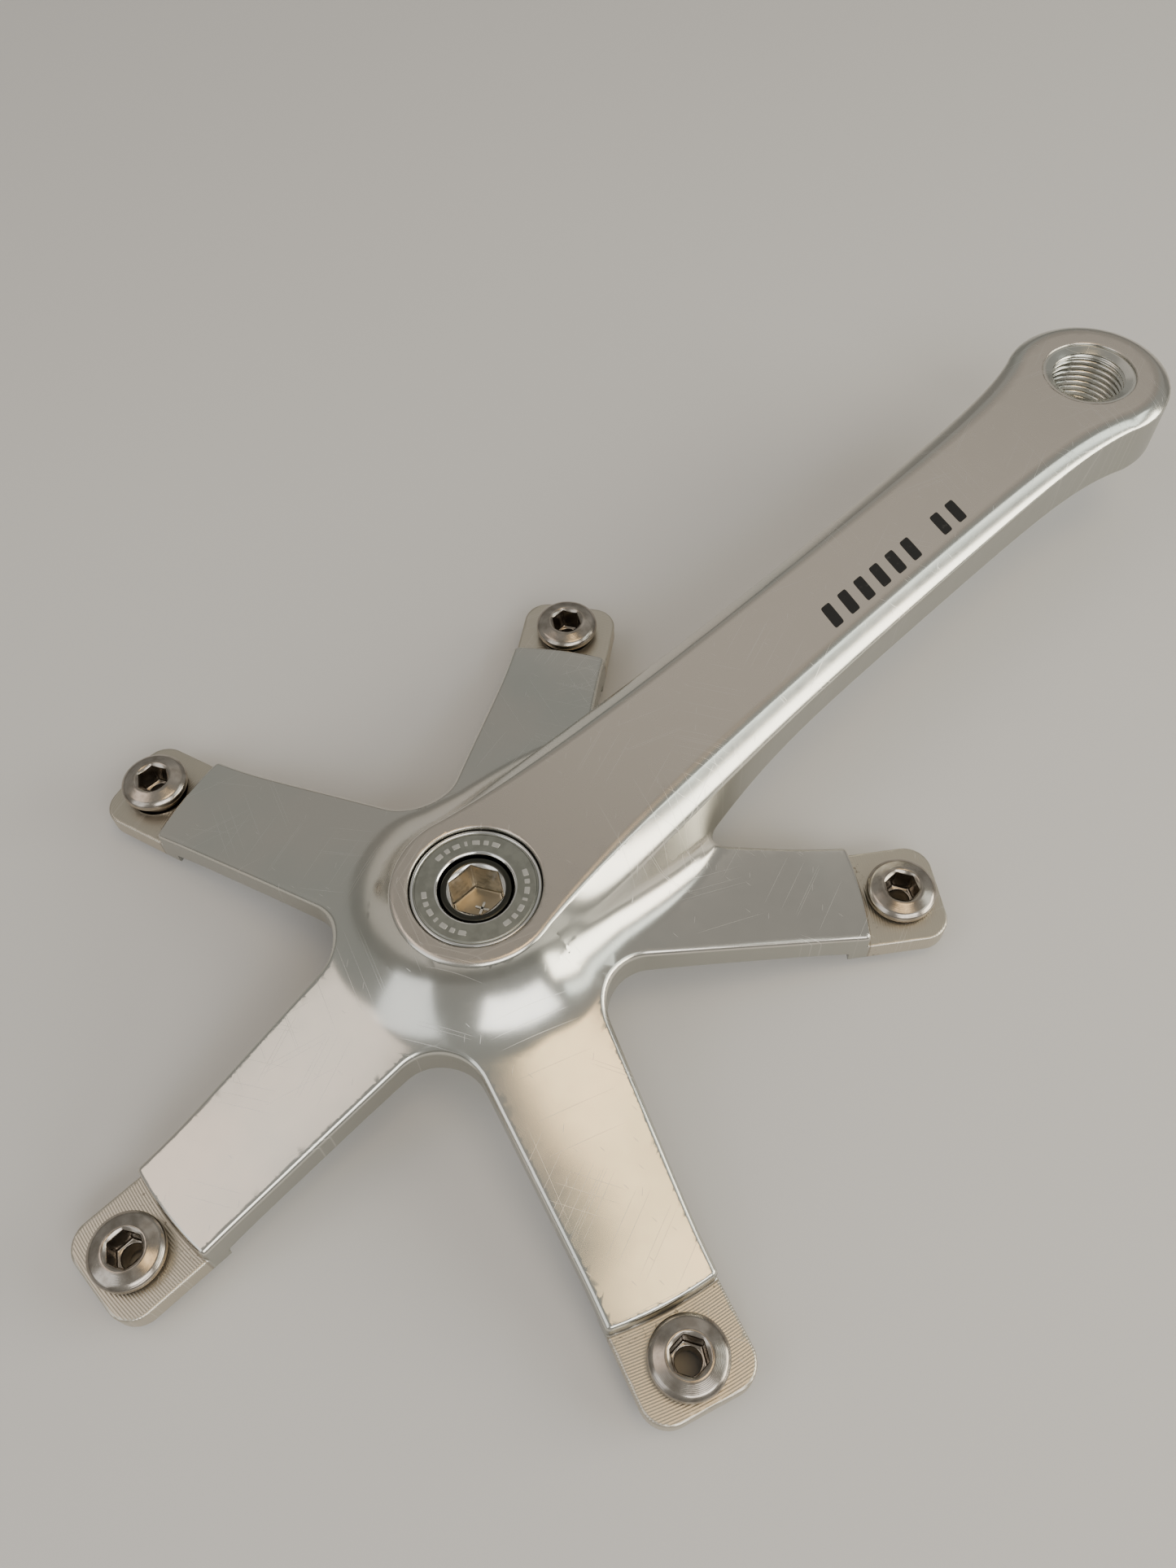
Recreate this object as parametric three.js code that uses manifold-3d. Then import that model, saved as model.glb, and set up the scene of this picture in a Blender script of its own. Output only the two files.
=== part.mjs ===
// A 165 mm right-hand track crank with a five-arm spider, as it lies on a bench: outboard face up.
// One forging carries the square-taper boss, the spider and the pedal eye. A one-key release set
// (washer, crank bolt, slip washer, threaded cap) sits in the boss, and a loose pair of chainring
// bolt and sleeve nut hangs in each of the five tabs.
// Millimetres. The origin is on the spindle axis in the boss's back face, +X runs to the pedal
// axis, and +Z is the outboard direction.
import * as THREE from "three";
import { LoftGeometry } from "three/addons/geometries/LoftGeometry.js";
import { mergeVertices } from "three/addons/utils/BufferGeometryUtils.js";
import Module from "manifold-3d";

const wasm = await Module();
wasm.setup();

// ---- driving dimensions ------------------------------------------------------------------

const CRANK_LENGTH = 165; // spindle axis to pedal axis
const BOLT_CIRCLE = 144; // diameter through the five chainring bolts
const SPIDER_ARMS = 5;
const FIRST_ARM_ANGLE = Math.PI / 5; // the crank arm bisects the first gap
const CUT_PAST = 1; // how far a cutting solid runs past the face it opens

const BOSS = {
  height: 29.8, // back face to outboard face
  backRadius: 15,
  backChamfer: 0.8,
  faceRadius: 13.5,
  coreTop: 29.5, // the turned part ends just inside the crank arm's own face
};

const SPIDER = {
  stepRadius: 64.8, // shelf that centres the chainring
  tabEnd: 79,
  turnedTo: 81, // the turned section runs past the tab ends and the outline trims it
  tabFront: 6.9,
  tabBack: 2.9,
  tabHalfWidth: 9.15,
  tabCorner: 4.5,
  straightFrom: 60, // inside this radius the arms widen towards the hub
  widening: 0.0515, // half width gained per mm inwards
  webFillet: 8.3,
};

// Cross-section of the spider and boss about the spindle axis, as [radius, height].
const SPIDER_BACK = [
  [0, 0],
  [BOSS.backRadius - BOSS.backChamfer, 0],
  [BOSS.backRadius, BOSS.backChamfer],
  [BOSS.backRadius, 10.6],
  [16.4, 13.3],
  [19, 14.4],
  [30, 12.4],
  [50, 7.4],
  [61.2, 4.6],
  [62.2, SPIDER.tabBack],
  [SPIDER.turnedTo, SPIDER.tabBack],
];
const SPIDER_FRONT = [
  [SPIDER.turnedTo, SPIDER.tabFront],
  [SPIDER.stepRadius, SPIDER.tabFront],
  [SPIDER.stepRadius, 10.1],
  [57, 11.6],
  [50, 13.3],
  [40, 16],
  [30, 18.7],
  [25, 20.1],
  [21, 21.9],
  [18.5, 24.7],
  [16.3, 27.7],
  [BOSS.faceRadius, BOSS.coreTop],
  [0, BOSS.coreTop],
];

// The crank arm is skinned through five rings, from the underside up: bottom edge, lower wall,
// crease, shoulder and top face. Each ring runs round the boss, along both flanks and round the
// pedal eye. z is its height at the spindle axis and rise is what it climbs per mm towards the
// pedal. boss and eye are its radii about the two axes, waist is its half width between them, and
// reach and power say how far along the flank, and how sharply, the boss's swelling dies away.
const ARM_RINGS = [
  { z: 15, rise: 0.0215, waist: 9.6, boss: 20.5, eye: 14.4, reach: 38.8, power: 2 },
  { z: 16.4, rise: 0.0215, waist: 11, boss: 22, eye: 15.9, reach: 38.8, power: 2 },
  { z: 25, rise: 0.0375, waist: 11.9, boss: 18.2, eye: 16.2, reach: 27, power: 1 },
  { z: 27.9, rise: 0.0278, waist: 10.6, boss: 16.2, eye: 15, reach: 26, power: 1 },
  { z: BOSS.height, rise: 0.02, waist: 8.05, boss: BOSS.faceRadius, eye: 13.4, reach: 24, power: 1 },
];
const EYE_REACH = 10.9; // how far the eye's swelling carries back along the flanks
const BOSS_TANGENT = THREE.MathUtils.degToRad(75); // where the flanks leave the boss circle
const EYE_TANGENT = THREE.MathUtils.degToRad(112); // where they meet the eye circle

const TAPER = { mouth: 14, seat: 12.7, depth: 18 }; // square bore, across flats at z = 0 and at depth
const OVERLAP = 0.01; // how far one cut runs into the next, so that no skin is left between them
const BOLT_CHAMBER = { radius: 10.2, from: TAPER.depth };
const CAP_THREAD = { radius: 10.8, from: 24.1, chamferRadius: 11.3 };

const PEDAL_HOLE = { radius: 6.8, countersinkRadius: 9.1, countersinkDepth: 1.6 };

const SEAT_WASHER = { z: 18.3, thickness: 1.2, innerRadius: 4.4, outerRadius: 9.6 };
const CRANK_BOLT = {
  flangeZ: 19.8,
  flangeThickness: 2.5,
  flangeRadius: 9,
  headRadius: 5.7,
  headTop: 28.7,
  socket: 8, // across flats
  socketDepth: 7.5,
  headChamfer: 0.5,
  shankRadius: 3.9,
  shankTip: 4.5,
  tipChamfer: 0.8,
};
const SLIP_WASHER = { z: 22.6, thickness: 0.8, innerRadius: 6.1, outerRadius: 9.8 };
const CAP = {
  bottom: 24.5,
  top: 29.3,
  radius: 10.5,
  innerRadius: 6.05,
  bevel: 0.35,
};

// How far each chainring bolt's head stands off its tab, in order round the spider. The nut
// flanges rest on the bench, so the pairs stand at slightly different heights.
const STAND_OFF = [1.2, 1.9, 0.9, 0.8, 0.6];
const RING_BOLT = {
  headRadius: 6,
  rimThickness: 1.8,
  crownThickness: 2.6,
  crownRadius: 3.5,
  socket: 5, // across flats
  socketDepth: 5,
  shankRadius: 3.75,
  shankLength: 6.6,
  tipChamfer: 0.5,
  boreRadius: 2,
};
const RING_NUT = {
  sleeveRadius: 4.9,
  sleeveLength: 5.9,
  flangeRadius: 6.3,
  flangeThickness: 1.2,
  boreRadius: 4.05,
  slotWidth: 2,
  slotDepth: 0.7,
  belowHead: 7.4, // flange underside to bolt head underside
};
const TAB_HOLE_RADIUS = 5.2;

const MATERIAL = {
  polishedAluminium: { color: 0xb9aca0, roughness: 0.22, metalness: 1 },
  satinAluminium: { color: 0x8d9087, roughness: 0.35, metalness: 1 },
  nickelSteel: { color: 0x9a938a, roughness: 0.25, metalness: 1 },
  brightSteel: { color: 0xcbc8c0, roughness: 0.15, metalness: 1 },
  blackNylon: { color: 0x1d1c1b, roughness: 0.6, metalness: 0 },
};

// ---- geometry helpers --------------------------------------------------------------------

/** A closed three.js geometry as a solid that can be joined and cut. */
function solid(geometry) {
  const bare = new THREE.BufferGeometry().copy(geometry);
  bare.deleteAttribute("normal");
  bare.deleteAttribute("uv");
  const merged = mergeVertices(bare, 1e-4);
  const corners = merged.index.array;
  const kept = [];
  for (let i = 0; i < corners.length; i += 3) {
    const [a, b, c] = corners.slice(i, i + 3);
    if (a !== b && b !== c && c !== a) kept.push(a, b, c);
  }
  return new wasm.Manifold(
    new wasm.Mesh({
      numProp: 3,
      vertProperties: merged.attributes.position.array,
      triVerts: new Uint32Array(kept),
    }),
  );
}

/** A profile of [radius, height] points turned about the Z axis. */
function turned(profile, segments) {
  const points = profile.map(([radius, height]) => new THREE.Vector2(radius, height));
  return solid(new THREE.LatheGeometry(points, segments).rotateX(Math.PI / 2));
}

/** A ring of rectangular section about the Z axis. */
function collar(innerRadius, outerRadius, bottom, top, segments) {
  return turned(
    [
      [innerRadius, bottom],
      [outerRadius, bottom],
      [outerRadius, top],
      [innerRadius, top],
      [innerRadius, bottom],
    ],
    segments,
  );
}

/** A round bar on the Z axis. */
function bar(radius, bottom, top, segments) {
  return turned(
    [
      [0, bottom],
      [radius, bottom],
      [radius, top],
      [0, top],
    ],
    segments,
  );
}

/** An outline drawn out along Z between two heights. */
function prism(shape, bottom, top, curveSegments = 6) {
  const settings = { depth: top - bottom, bevelEnabled: false, curveSegments };
  return solid(new THREE.ExtrudeGeometry(shape, settings).translate(0, 0, bottom));
}

/** A regular hexagon with the given size across its flats. */
function hexagon(acrossFlats) {
  const corner = acrossFlats / Math.sqrt(3);
  const shape = new THREE.Shape();
  for (let i = 0; i < 6; i++) {
    const angle = (i * Math.PI) / 3;
    shape[i ? "lineTo" : "moveTo"](corner * Math.cos(angle), corner * Math.sin(angle));
  }
  shape.closePath();
  return shape;
}

/** A square on the axes with the given size across its flats, as one ring of a loft. */
function squareRing(acrossFlats, z) {
  const half = acrossFlats / 2;
  return [
    [half, half],
    [-half, half],
    [-half, -half],
    [half, -half],
  ].map(([x, y]) => new THREE.Vector3(x, y, z));
}

/** A solid back as a named mesh with its own material. */
function mesh(name, body, material) {
  const { numProp, vertProperties, triVerts } = body.getMesh();
  const positions = new Float32Array((vertProperties.length / numProp) * 3);
  for (let i = 0; i < positions.length / 3; i++) {
    positions.set(vertProperties.subarray(i * numProp, i * numProp + 3), i * 3);
  }
  const geometry = new THREE.BufferGeometry();
  geometry.setAttribute("position", new THREE.BufferAttribute(positions, 3));
  geometry.setIndex(new THREE.BufferAttribute(new Uint32Array(triVerts), 1));
  geometry.computeVertexNormals();
  const made = new THREE.Mesh(geometry, new THREE.MeshStandardMaterial(material));
  made.name = name;
  return made;
}

// ---- the crank arm forging ---------------------------------------------------------------

/** The spider seen along its axis: five arms with squared tabs and round webs between them. */
function spiderOutline() {
  const { tabHalfWidth, tabEnd, tabCorner, straightFrom, widening, webFillet } = SPIDER;
  const slope = Math.atan(widening);
  const halfPitch = Math.PI / SPIDER_ARMS;
  // The web's fillet touches the widening edges of both neighbouring arms: its centre is as far
  // out on the bisector as puts it one fillet radius off either edge.
  const along = Math.cos(halfPitch) * Math.sin(slope) + Math.sin(halfPitch) * Math.cos(slope);
  const offset = straightFrom * Math.sin(slope) + tabHalfWidth * Math.cos(slope);
  const webCentre = (webFillet + offset) / along;
  const shape = new THREE.Shape();
  for (let arm = 0; arm < SPIDER_ARMS; arm++) {
    const angle = FIRST_ARM_ANGLE + arm * 2 * halfPitch;
    const place = (r, t) => [
      r * Math.cos(angle) - t * Math.sin(angle),
      r * Math.sin(angle) + t * Math.cos(angle),
    ];
    const inner = tabEnd - tabCorner;
    const side = tabHalfWidth - tabCorner;
    shape[arm ? "lineTo" : "moveTo"](...place(straightFrom, -tabHalfWidth));
    shape.lineTo(...place(inner, -tabHalfWidth));
    shape.absarc(...place(inner, -side), tabCorner, angle - Math.PI / 2, angle);
    shape.absarc(...place(inner, side), tabCorner, angle, angle + Math.PI / 2);
    shape.lineTo(...place(straightFrom, tabHalfWidth));
    const bisector = angle + halfPitch;
    const centre = [webCentre * Math.cos(bisector), webCentre * Math.sin(bisector)];
    const from = angle - Math.PI / 2 - slope;
    const to = angle + 2 * halfPitch + Math.PI / 2 + slope;
    shape.absarc(...centre, webFillet, from, to - 2 * Math.PI, true);
  }
  shape.closePath();
  return shape;
}

/** One level ring of the crank arm: boss arc, flank, eye arc and the other flank. */
function armRing({ z, rise, waist, boss, eye, reach, power }) {
  const bossX = boss * Math.cos(BOSS_TANGENT);
  const eyeX = CRANK_LENGTH + eye * Math.cos(EYE_TANGENT);
  const bossSwell = boss * Math.sin(BOSS_TANGENT) - waist;
  const eyeSwell = eye * Math.sin(EYE_TANGENT) - waist;
  const decay = (x) => Math.exp(-((Math.max(x, 0) / reach) ** power));
  const halfWidth = (x) =>
    waist +
    (bossSwell * decay(x)) / decay(bossX) +
    eyeSwell * Math.exp((x - eyeX) / EYE_REACH);
  const arcSteps = 12;
  const flankSteps = 15;
  const points = [];
  for (let i = 0; i <= arcSteps; i++) {
    const angle = EYE_TANGENT * ((2 * i) / arcSteps - 1);
    points.push([CRANK_LENGTH + eye * Math.cos(angle), eye * Math.sin(angle)]);
  }
  for (let i = 1; i < flankSteps; i++) {
    const x = eyeX + ((bossX - eyeX) * i) / flankSteps;
    points.push([x, halfWidth(x)]);
  }
  for (let i = 0; i <= arcSteps; i++) {
    const angle = BOSS_TANGENT + (2 * (Math.PI - BOSS_TANGENT) * i) / arcSteps;
    points.push([boss * Math.cos(angle), boss * Math.sin(angle)]);
  }
  for (let i = 1; i < flankSteps; i++) {
    const x = bossX + ((eyeX - bossX) * i) / flankSteps;
    points.push([x, -halfWidth(x)]);
  }
  return points.map(([x, y]) => new THREE.Vector3(x, y, z + rise * x));
}

/** The square-taper bore, its slope carried on past the boss's back face. */
function taperBore() {
  const { mouth, seat, depth } = TAPER;
  const perMm = (mouth - seat) / depth;
  const rings = [
    squareRing(mouth + CUT_PAST * perMm, -CUT_PAST),
    squareRing(seat, depth + OVERLAP),
  ];
  return solid(new LoftGeometry(rings, { capStart: true, capEnd: true }));
}

/** The cap's thread bore with the 45 degree chamfer at its mouth. */
function capBore() {
  const { radius, chamferRadius, from } = CAP_THREAD;
  const top = BOSS.height + CUT_PAST;
  const chamferFoot = BOSS.height - (chamferRadius - radius);
  return turned(
    [
      [0, from],
      [radius, from],
      [radius, chamferFoot],
      [radius + top - chamferFoot, top],
      [0, top],
    ],
    48,
  );
}

/** The pedal's thread bore with its countersink, on the pedal axis. */
function pedalBore() {
  const { radius, countersinkRadius, countersinkDepth } = PEDAL_HOLE;
  const face = BOSS.height + ARM_RINGS.at(-1).rise * CRANK_LENGTH;
  const perMm = (countersinkRadius - radius) / countersinkDepth;
  return turned(
    [
      [0, 0],
      [radius, 0],
      [radius, face - countersinkDepth],
      [countersinkRadius + CUT_PAST * perMm, face + CUT_PAST],
      [0, face + CUT_PAST],
    ],
    36,
  ).translate([CRANK_LENGTH, 0, 0]);
}

/** Boss, spider and arm as one piece, with its bores. */
function crankArm() {
  const boltChamber = bar(BOLT_CHAMBER.radius, BOLT_CHAMBER.from, BOSS.height + CUT_PAST, 48);
  const tabHole = bar(TAB_HOLE_RADIUS, 0, SPIDER.tabFront + CUT_PAST, 28);
  const spider = turned([...SPIDER_BACK, ...SPIDER_FRONT], 60).intersect(
    prism(spiderOutline(), -CUT_PAST, BOSS.height + CUT_PAST),
  );
  const arm = solid(
    new LoftGeometry(ARM_RINGS.map(armRing), { capStart: true, capEnd: true }),
  );
  const body = spider
    .add(arm)
    .subtract(taperBore())
    .subtract(boltChamber)
    .subtract(capBore())
    .subtract(pedalBore());
  return tabCentres().reduce((left, [x, y]) => left.subtract(tabHole.translate([x, y, 0])), body);
}

/** Where the five chainring bolts stand. */
function tabCentres() {
  return STAND_OFF.map((_, i) => {
    const angle = FIRST_ARM_ANGLE + (i * 2 * Math.PI) / SPIDER_ARMS;
    return [(BOLT_CIRCLE / 2) * Math.cos(angle), (BOLT_CIRCLE / 2) * Math.sin(angle)];
  });
}

// ---- the release set in the boss ---------------------------------------------------------

function seatWasher() {
  const { z, thickness, innerRadius, outerRadius } = SEAT_WASHER;
  return collar(innerRadius, outerRadius, z, z + thickness, 40);
}

function crankBolt() {
  const b = CRANK_BOLT;
  const blank = turned(
    [
      [0, b.shankTip],
      [b.shankRadius - b.tipChamfer, b.shankTip],
      [b.shankRadius, b.shankTip + b.tipChamfer],
      [b.shankRadius, b.flangeZ],
      [b.flangeRadius, b.flangeZ],
      [b.flangeRadius, b.flangeZ + b.flangeThickness],
      [b.headRadius, b.flangeZ + b.flangeThickness],
      [b.headRadius, b.headTop - b.headChamfer],
      [b.headRadius - b.headChamfer, b.headTop],
      [0, b.headTop],
    ],
    40,
  );
  const socketFloor = b.headTop - b.socketDepth;
  return blank.subtract(prism(hexagon(b.socket), socketFloor, b.headTop + CUT_PAST));
}

function slipWasher() {
  const { z, thickness, innerRadius, outerRadius } = SLIP_WASHER;
  return collar(innerRadius, outerRadius, z, z + thickness, 40);
}

function extractorCap() {
  const { bottom, top, radius, innerRadius, bevel } = CAP;
  return turned(
    [
      [innerRadius, bottom],
      [radius, bottom],
      [radius, top - bevel / 2],
      [radius - bevel / 2, top],
      [innerRadius + bevel, top],
      [innerRadius, top - bevel],
      [innerRadius, bottom],
    ],
    48,
  );
}

// ---- chainring bolts and sleeve nuts -----------------------------------------------------

/** A chainring bolt with the underside of its head at z = 0. */
function ringBolt() {
  const b = RING_BOLT;
  const blank = turned(
    [
      [b.boreRadius, -b.shankLength],
      [b.shankRadius - b.tipChamfer, -b.shankLength],
      [b.shankRadius, -b.shankLength + b.tipChamfer],
      [b.shankRadius, 0],
      [b.headRadius, 0],
      [b.headRadius, b.rimThickness],
      [b.crownRadius, b.crownThickness],
      [b.boreRadius, b.crownThickness],
      [b.boreRadius, -b.shankLength],
    ],
    32,
  );
  const socketFloor = b.crownThickness - b.socketDepth;
  return blank.subtract(prism(hexagon(b.socket), socketFloor, b.crownThickness + CUT_PAST));
}

/** A slotted sleeve nut with the underside of its flange at z = 0. */
function ringNut() {
  const n = RING_NUT;
  const top = n.flangeThickness + n.sleeveLength;
  const blank = turned(
    [
      [n.boreRadius, 0],
      [n.flangeRadius, 0],
      [n.flangeRadius, n.flangeThickness],
      [n.sleeveRadius, n.flangeThickness],
      [n.sleeveRadius, top],
      [n.boreRadius, top],
      [n.boreRadius, 0],
    ],
    32,
  );
  const slot = solid(
    new THREE.BoxGeometry(3 * n.flangeRadius, n.slotWidth, 2 * n.slotDepth),
  );
  return blank.subtract(slot);
}

// ---- assembly ----------------------------------------------------------------------------

const crankset = new THREE.Group();
crankset.add(mesh("crank_arm", crankArm(), MATERIAL.polishedAluminium));
crankset.add(mesh("crank_bolt_washer", seatWasher(), MATERIAL.brightSteel));
crankset.add(mesh("crank_bolt", crankBolt(), MATERIAL.brightSteel));
crankset.add(mesh("cap_slip_washer", slipWasher(), MATERIAL.blackNylon));
crankset.add(mesh("extractor_cap", extractorCap(), MATERIAL.satinAluminium));

tabCentres().forEach(([x, y], i) => {
  const headUnderside = SPIDER.tabFront + STAND_OFF[i];
  const bolt = mesh(`chainring_bolt_${i + 1}`, ringBolt(), MATERIAL.nickelSteel);
  bolt.position.set(x, y, headUnderside);
  const nut = mesh(`chainring_nut_${i + 1}`, ringNut(), MATERIAL.nickelSteel);
  nut.position.set(x, y, headUnderside - RING_NUT.belowHead);
  crankset.add(bolt, nut);
});

export default crankset;
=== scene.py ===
"""Looks of a right-hand track crank with a five-arm spider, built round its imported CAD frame.

The forging, its release set and the chainring bolts and nuts are each worked out as numpy
surfaces and ride on the CAD body they stand for. Sizes are millimetres in the row frame: the
origin is on the spindle axis in the boss's back face, +X runs to the pedal axis and +Z is
outboard. Blender's meshes are in metres.
"""

import logging
from dataclasses import dataclass, field
from enum import Enum
from typing import Any, Callable, Optional, Sequence

import bpy
import numpy as np
from mathutils import Matrix, Vector

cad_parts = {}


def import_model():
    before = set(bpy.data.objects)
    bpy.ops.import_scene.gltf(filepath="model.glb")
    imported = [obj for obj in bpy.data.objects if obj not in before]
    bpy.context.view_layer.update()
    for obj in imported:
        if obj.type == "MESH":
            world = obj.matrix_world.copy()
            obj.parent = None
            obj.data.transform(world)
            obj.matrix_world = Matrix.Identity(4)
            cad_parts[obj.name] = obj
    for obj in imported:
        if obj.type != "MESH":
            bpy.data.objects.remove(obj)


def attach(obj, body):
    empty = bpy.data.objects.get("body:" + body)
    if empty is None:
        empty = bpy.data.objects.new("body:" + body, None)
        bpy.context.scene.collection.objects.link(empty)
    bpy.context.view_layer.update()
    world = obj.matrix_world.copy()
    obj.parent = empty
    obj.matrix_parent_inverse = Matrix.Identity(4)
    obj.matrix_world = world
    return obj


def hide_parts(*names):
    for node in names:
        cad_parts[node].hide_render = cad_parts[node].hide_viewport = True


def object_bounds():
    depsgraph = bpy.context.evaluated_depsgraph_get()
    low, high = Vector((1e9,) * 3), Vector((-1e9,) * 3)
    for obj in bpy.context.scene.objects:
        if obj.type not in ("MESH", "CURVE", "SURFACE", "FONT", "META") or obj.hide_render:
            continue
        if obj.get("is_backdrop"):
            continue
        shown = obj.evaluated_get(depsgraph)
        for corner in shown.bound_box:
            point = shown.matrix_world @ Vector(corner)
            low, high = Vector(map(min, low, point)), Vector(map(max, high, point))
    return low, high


LOG = logging.getLogger("crankset")
MM = 0.001
TURN = 2 * np.pi

# Edges of the forging's mesh are split where they bend more than these angles, in degrees, and
# are longer than these lengths, in mm.
SHARP_BEND, SHARP_LENGTH = 16.0, 0.2
SOFT_BEND, SOFT_LENGTH = 5.0, 0.6

Array = np.ndarray
Field = Callable[[Array], Array]
Colour = tuple[float, float, float]


# ---- surfaces ----------------------------------------------------------------------------


@dataclass
class Skin:
    """One closed surface: points in millimetres and four-cornered faces that point outwards.

    A triangle is a face whose last corner is there twice.
    """

    points: Array
    faces: Array
    normals: Optional[Array] = None

    def moved(self, x: float, y: float, z: float) -> "Skin":
        """The same surface shifted by x, y and z."""
        return Skin(self.points + np.array([x, y, z]), self.faces, self.normals)

    def welded(self) -> tuple[Array, Array, Array, Optional[Array]]:
        """Closes seams and poles by merging points that coincide.

        Returns:
            The distinct points, the faces with two corners that differ at least, the mask of
            the corners that are kept in them, and the points' normals if there are any.
        """
        _, first, merged = np.unique(
            np.round(self.points, 5), axis=0, return_index=True, return_inverse=True
        )
        faces = merged.reshape(-1)[self.faces]
        kept = faces != np.roll(faces, -1, axis=1)
        whole = kept.sum(axis=1) > 2
        normals = None if self.normals is None else self.normals[first]
        return self.points[first], faces[whole], kept[whole], normals


def joined(skins: Sequence[Skin]) -> Skin:
    """Several surfaces as one piece.

    Args:
        skins: The surfaces, all without normals of their own.

    Returns:
        One surface that holds them all.
    """
    starts = np.cumsum([0] + [len(s.points) for s in skins[:-1]])
    faces = [s.faces + start for s, start in zip(skins, starts)]
    return Skin(np.vstack([s.points for s in skins]), np.vstack(faces))


def grid_skin(points: Array, close_rows: bool) -> Skin:
    """Joins a grid of points into faces; its columns always close on themselves.

    Args:
        points: An array of rows x columns x 3. Columns go anticlockwise seen from above, and
            rows go anticlockwise round the section, so that the faces point outwards.
        close_rows: Whether the last row joins the first.

    Returns:
        The surface.
    """
    rows, columns = points.shape[:2]
    row = np.arange(rows if close_rows else rows - 1)[:, None]
    column = np.arange(columns)[None, :]
    above, beside = (row + 1) % rows, (column + 1) % columns
    corners = [
        row * columns + column,
        row * columns + beside,
        above * columns + beside,
        above * columns + column,
    ]
    faces = np.stack([np.broadcast_to(c, (row.size, columns)) for c in corners], axis=-1)
    return Skin(points.reshape(-1, 3), faces.reshape(-1, 4))


def softened(corners: Array, radius: float, steps: int = 4, closed: bool = True) -> Array:
    """Rounds the corners of a profile.

    Each corner P gives way to the curve (1-t)^2 A + 2t(1-t) P + t^2 B, where A and B lie on
    the two sides that meet in it, at most radius away from P and never past 0.45 of a side.

    Args:
        corners: An array of corners x values. The first two values are radius and height, and
            any further ones are carried along.
        radius: How far from a corner its rounding starts, in mm.
        steps: Points on each rounding.
        closed: Whether the last corner joins the first. If not, the two ends stay sharp.

    Returns:
        The rounded profile, in the same form.
    """
    before, after = np.roll(corners, 1, axis=0), np.roll(corners, -1, axis=0)
    t = np.linspace(0, 1, steps)[None, :, None]

    def towards(other: Array) -> Array:
        """Where the rounding meets the side that runs to each corner's neighbour."""
        span = np.linalg.norm((other - corners)[:, :2], axis=1, keepdims=True)
        share = np.minimum(0.45, radius / np.maximum(span, 1e-9))
        return (corners + (other - corners) * share)[:, None, :]

    a, b, p = towards(before), towards(after), corners[:, None, :]
    curve = (1 - t) ** 2 * a + 2 * t * (1 - t) * p + t**2 * b
    if closed:
        return curve.reshape(-1, corners.shape[1])
    middle = curve[1:-1].reshape(-1, corners.shape[1])
    return np.vstack([corners[:1], middle, corners[-1:]])


@dataclass(frozen=True)
class Thread:
    """A screw thread cut into a turned surface."""

    pitch: float
    depth: float

    def cut(self, angle: Array, height: Array) -> Array:
        """Depth below the crest: a wave of height / pitch - turns, eased by t^2 (3 - 2t)."""
        phase = np.mod(height / self.pitch - angle / TURN, 1.0)
        wave = np.clip(1.16 * np.abs(2 * phase - 1) - 0.08, 0, 1)
        return self.depth * wave**2 * (3 - 2 * wave)


def turned(
    profile: Array, columns: int = 96, thread: Optional[Thread] = None, close: bool = True
) -> Skin:
    """A profile carried round the Z axis, with six flats and a thread where it asks for them.

    At angle a and profile row (r, z, hex, rim, cut) the radius is r (1 - hex + hex / cos b),
    where b is the angle from the middle of the nearest flat, less cut times the thread's depth
    there. The height is z plus rim times the radius gained over r, which gives a countersink
    its scalloped edge where it runs out into a hexagon.

    Args:
        profile: Rows of r, z, hex, rim and cut, anticlockwise round the section with the
            radius to the right and the height upwards.
        columns: Points round the axis, a multiple of six.
        thread: The thread for the rows whose cut isn't 0.
        close: Whether the last row joins the first.

    Returns:
        The surface.
    """
    angle = np.arange(columns)[None, :] * TURN / columns
    r, z, hexed, rim, cut = (profile[:, i][:, None] for i in range(5))
    from_flat = np.mod(angle, TURN / 6) - TURN / 12
    radius = r * (1 - hexed + hexed / np.cos(from_flat))
    height = z + rim * (radius - r) + 0 * angle
    if thread is not None:
        radius = radius - cut * thread.cut(angle, height)
    points = np.stack([radius * np.cos(angle), radius * np.sin(angle), height], axis=-1)
    return grid_skin(points, close)


def rows(*corners: Sequence[float]) -> Array:
    """Profile rows of (r, z), (r, z, hex) and so on, with what is left out set to 0."""
    return np.array([list(c) + [0.0] * (5 - len(c)) for c in corners], float)


# ---- implicit solids ---------------------------------------------------------------------


def common(a: Array, b: Array, radius: float | Array) -> Array:
    """The part inside both a and b, its edge rounded: min(max(a, b), -r) + |(a+r, b+r) above 0|."""
    round_off = np.hypot(np.maximum(a + radius, 0), np.maximum(b + radius, 0))
    return np.minimum(np.maximum(a, b), -radius) + round_off


def filleted(a: Array, b: Array, radius: float | Array) -> Array:
    """a and b together, their corner filled: max(min(a, b), r) - |(r-a, r-b) above 0|."""
    fill = np.hypot(np.maximum(radius - a, 0), np.maximum(radius - b, 0))
    return np.maximum(np.minimum(a, b), radius) - fill


def gradient(distance: Field, points: Array, step: float = 0.03) -> Array:
    """Unit gradient from four differences along the corners of a tetrahedron."""
    corners = np.array([[1, -1, -1], [-1, -1, 1], [-1, 1, -1], [1, 1, 1]], float)
    total = sum(c * distance(points + step * c)[:, None] for c in corners)
    return total / np.maximum(np.linalg.norm(total, axis=1, keepdims=True), 1e-12)


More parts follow.
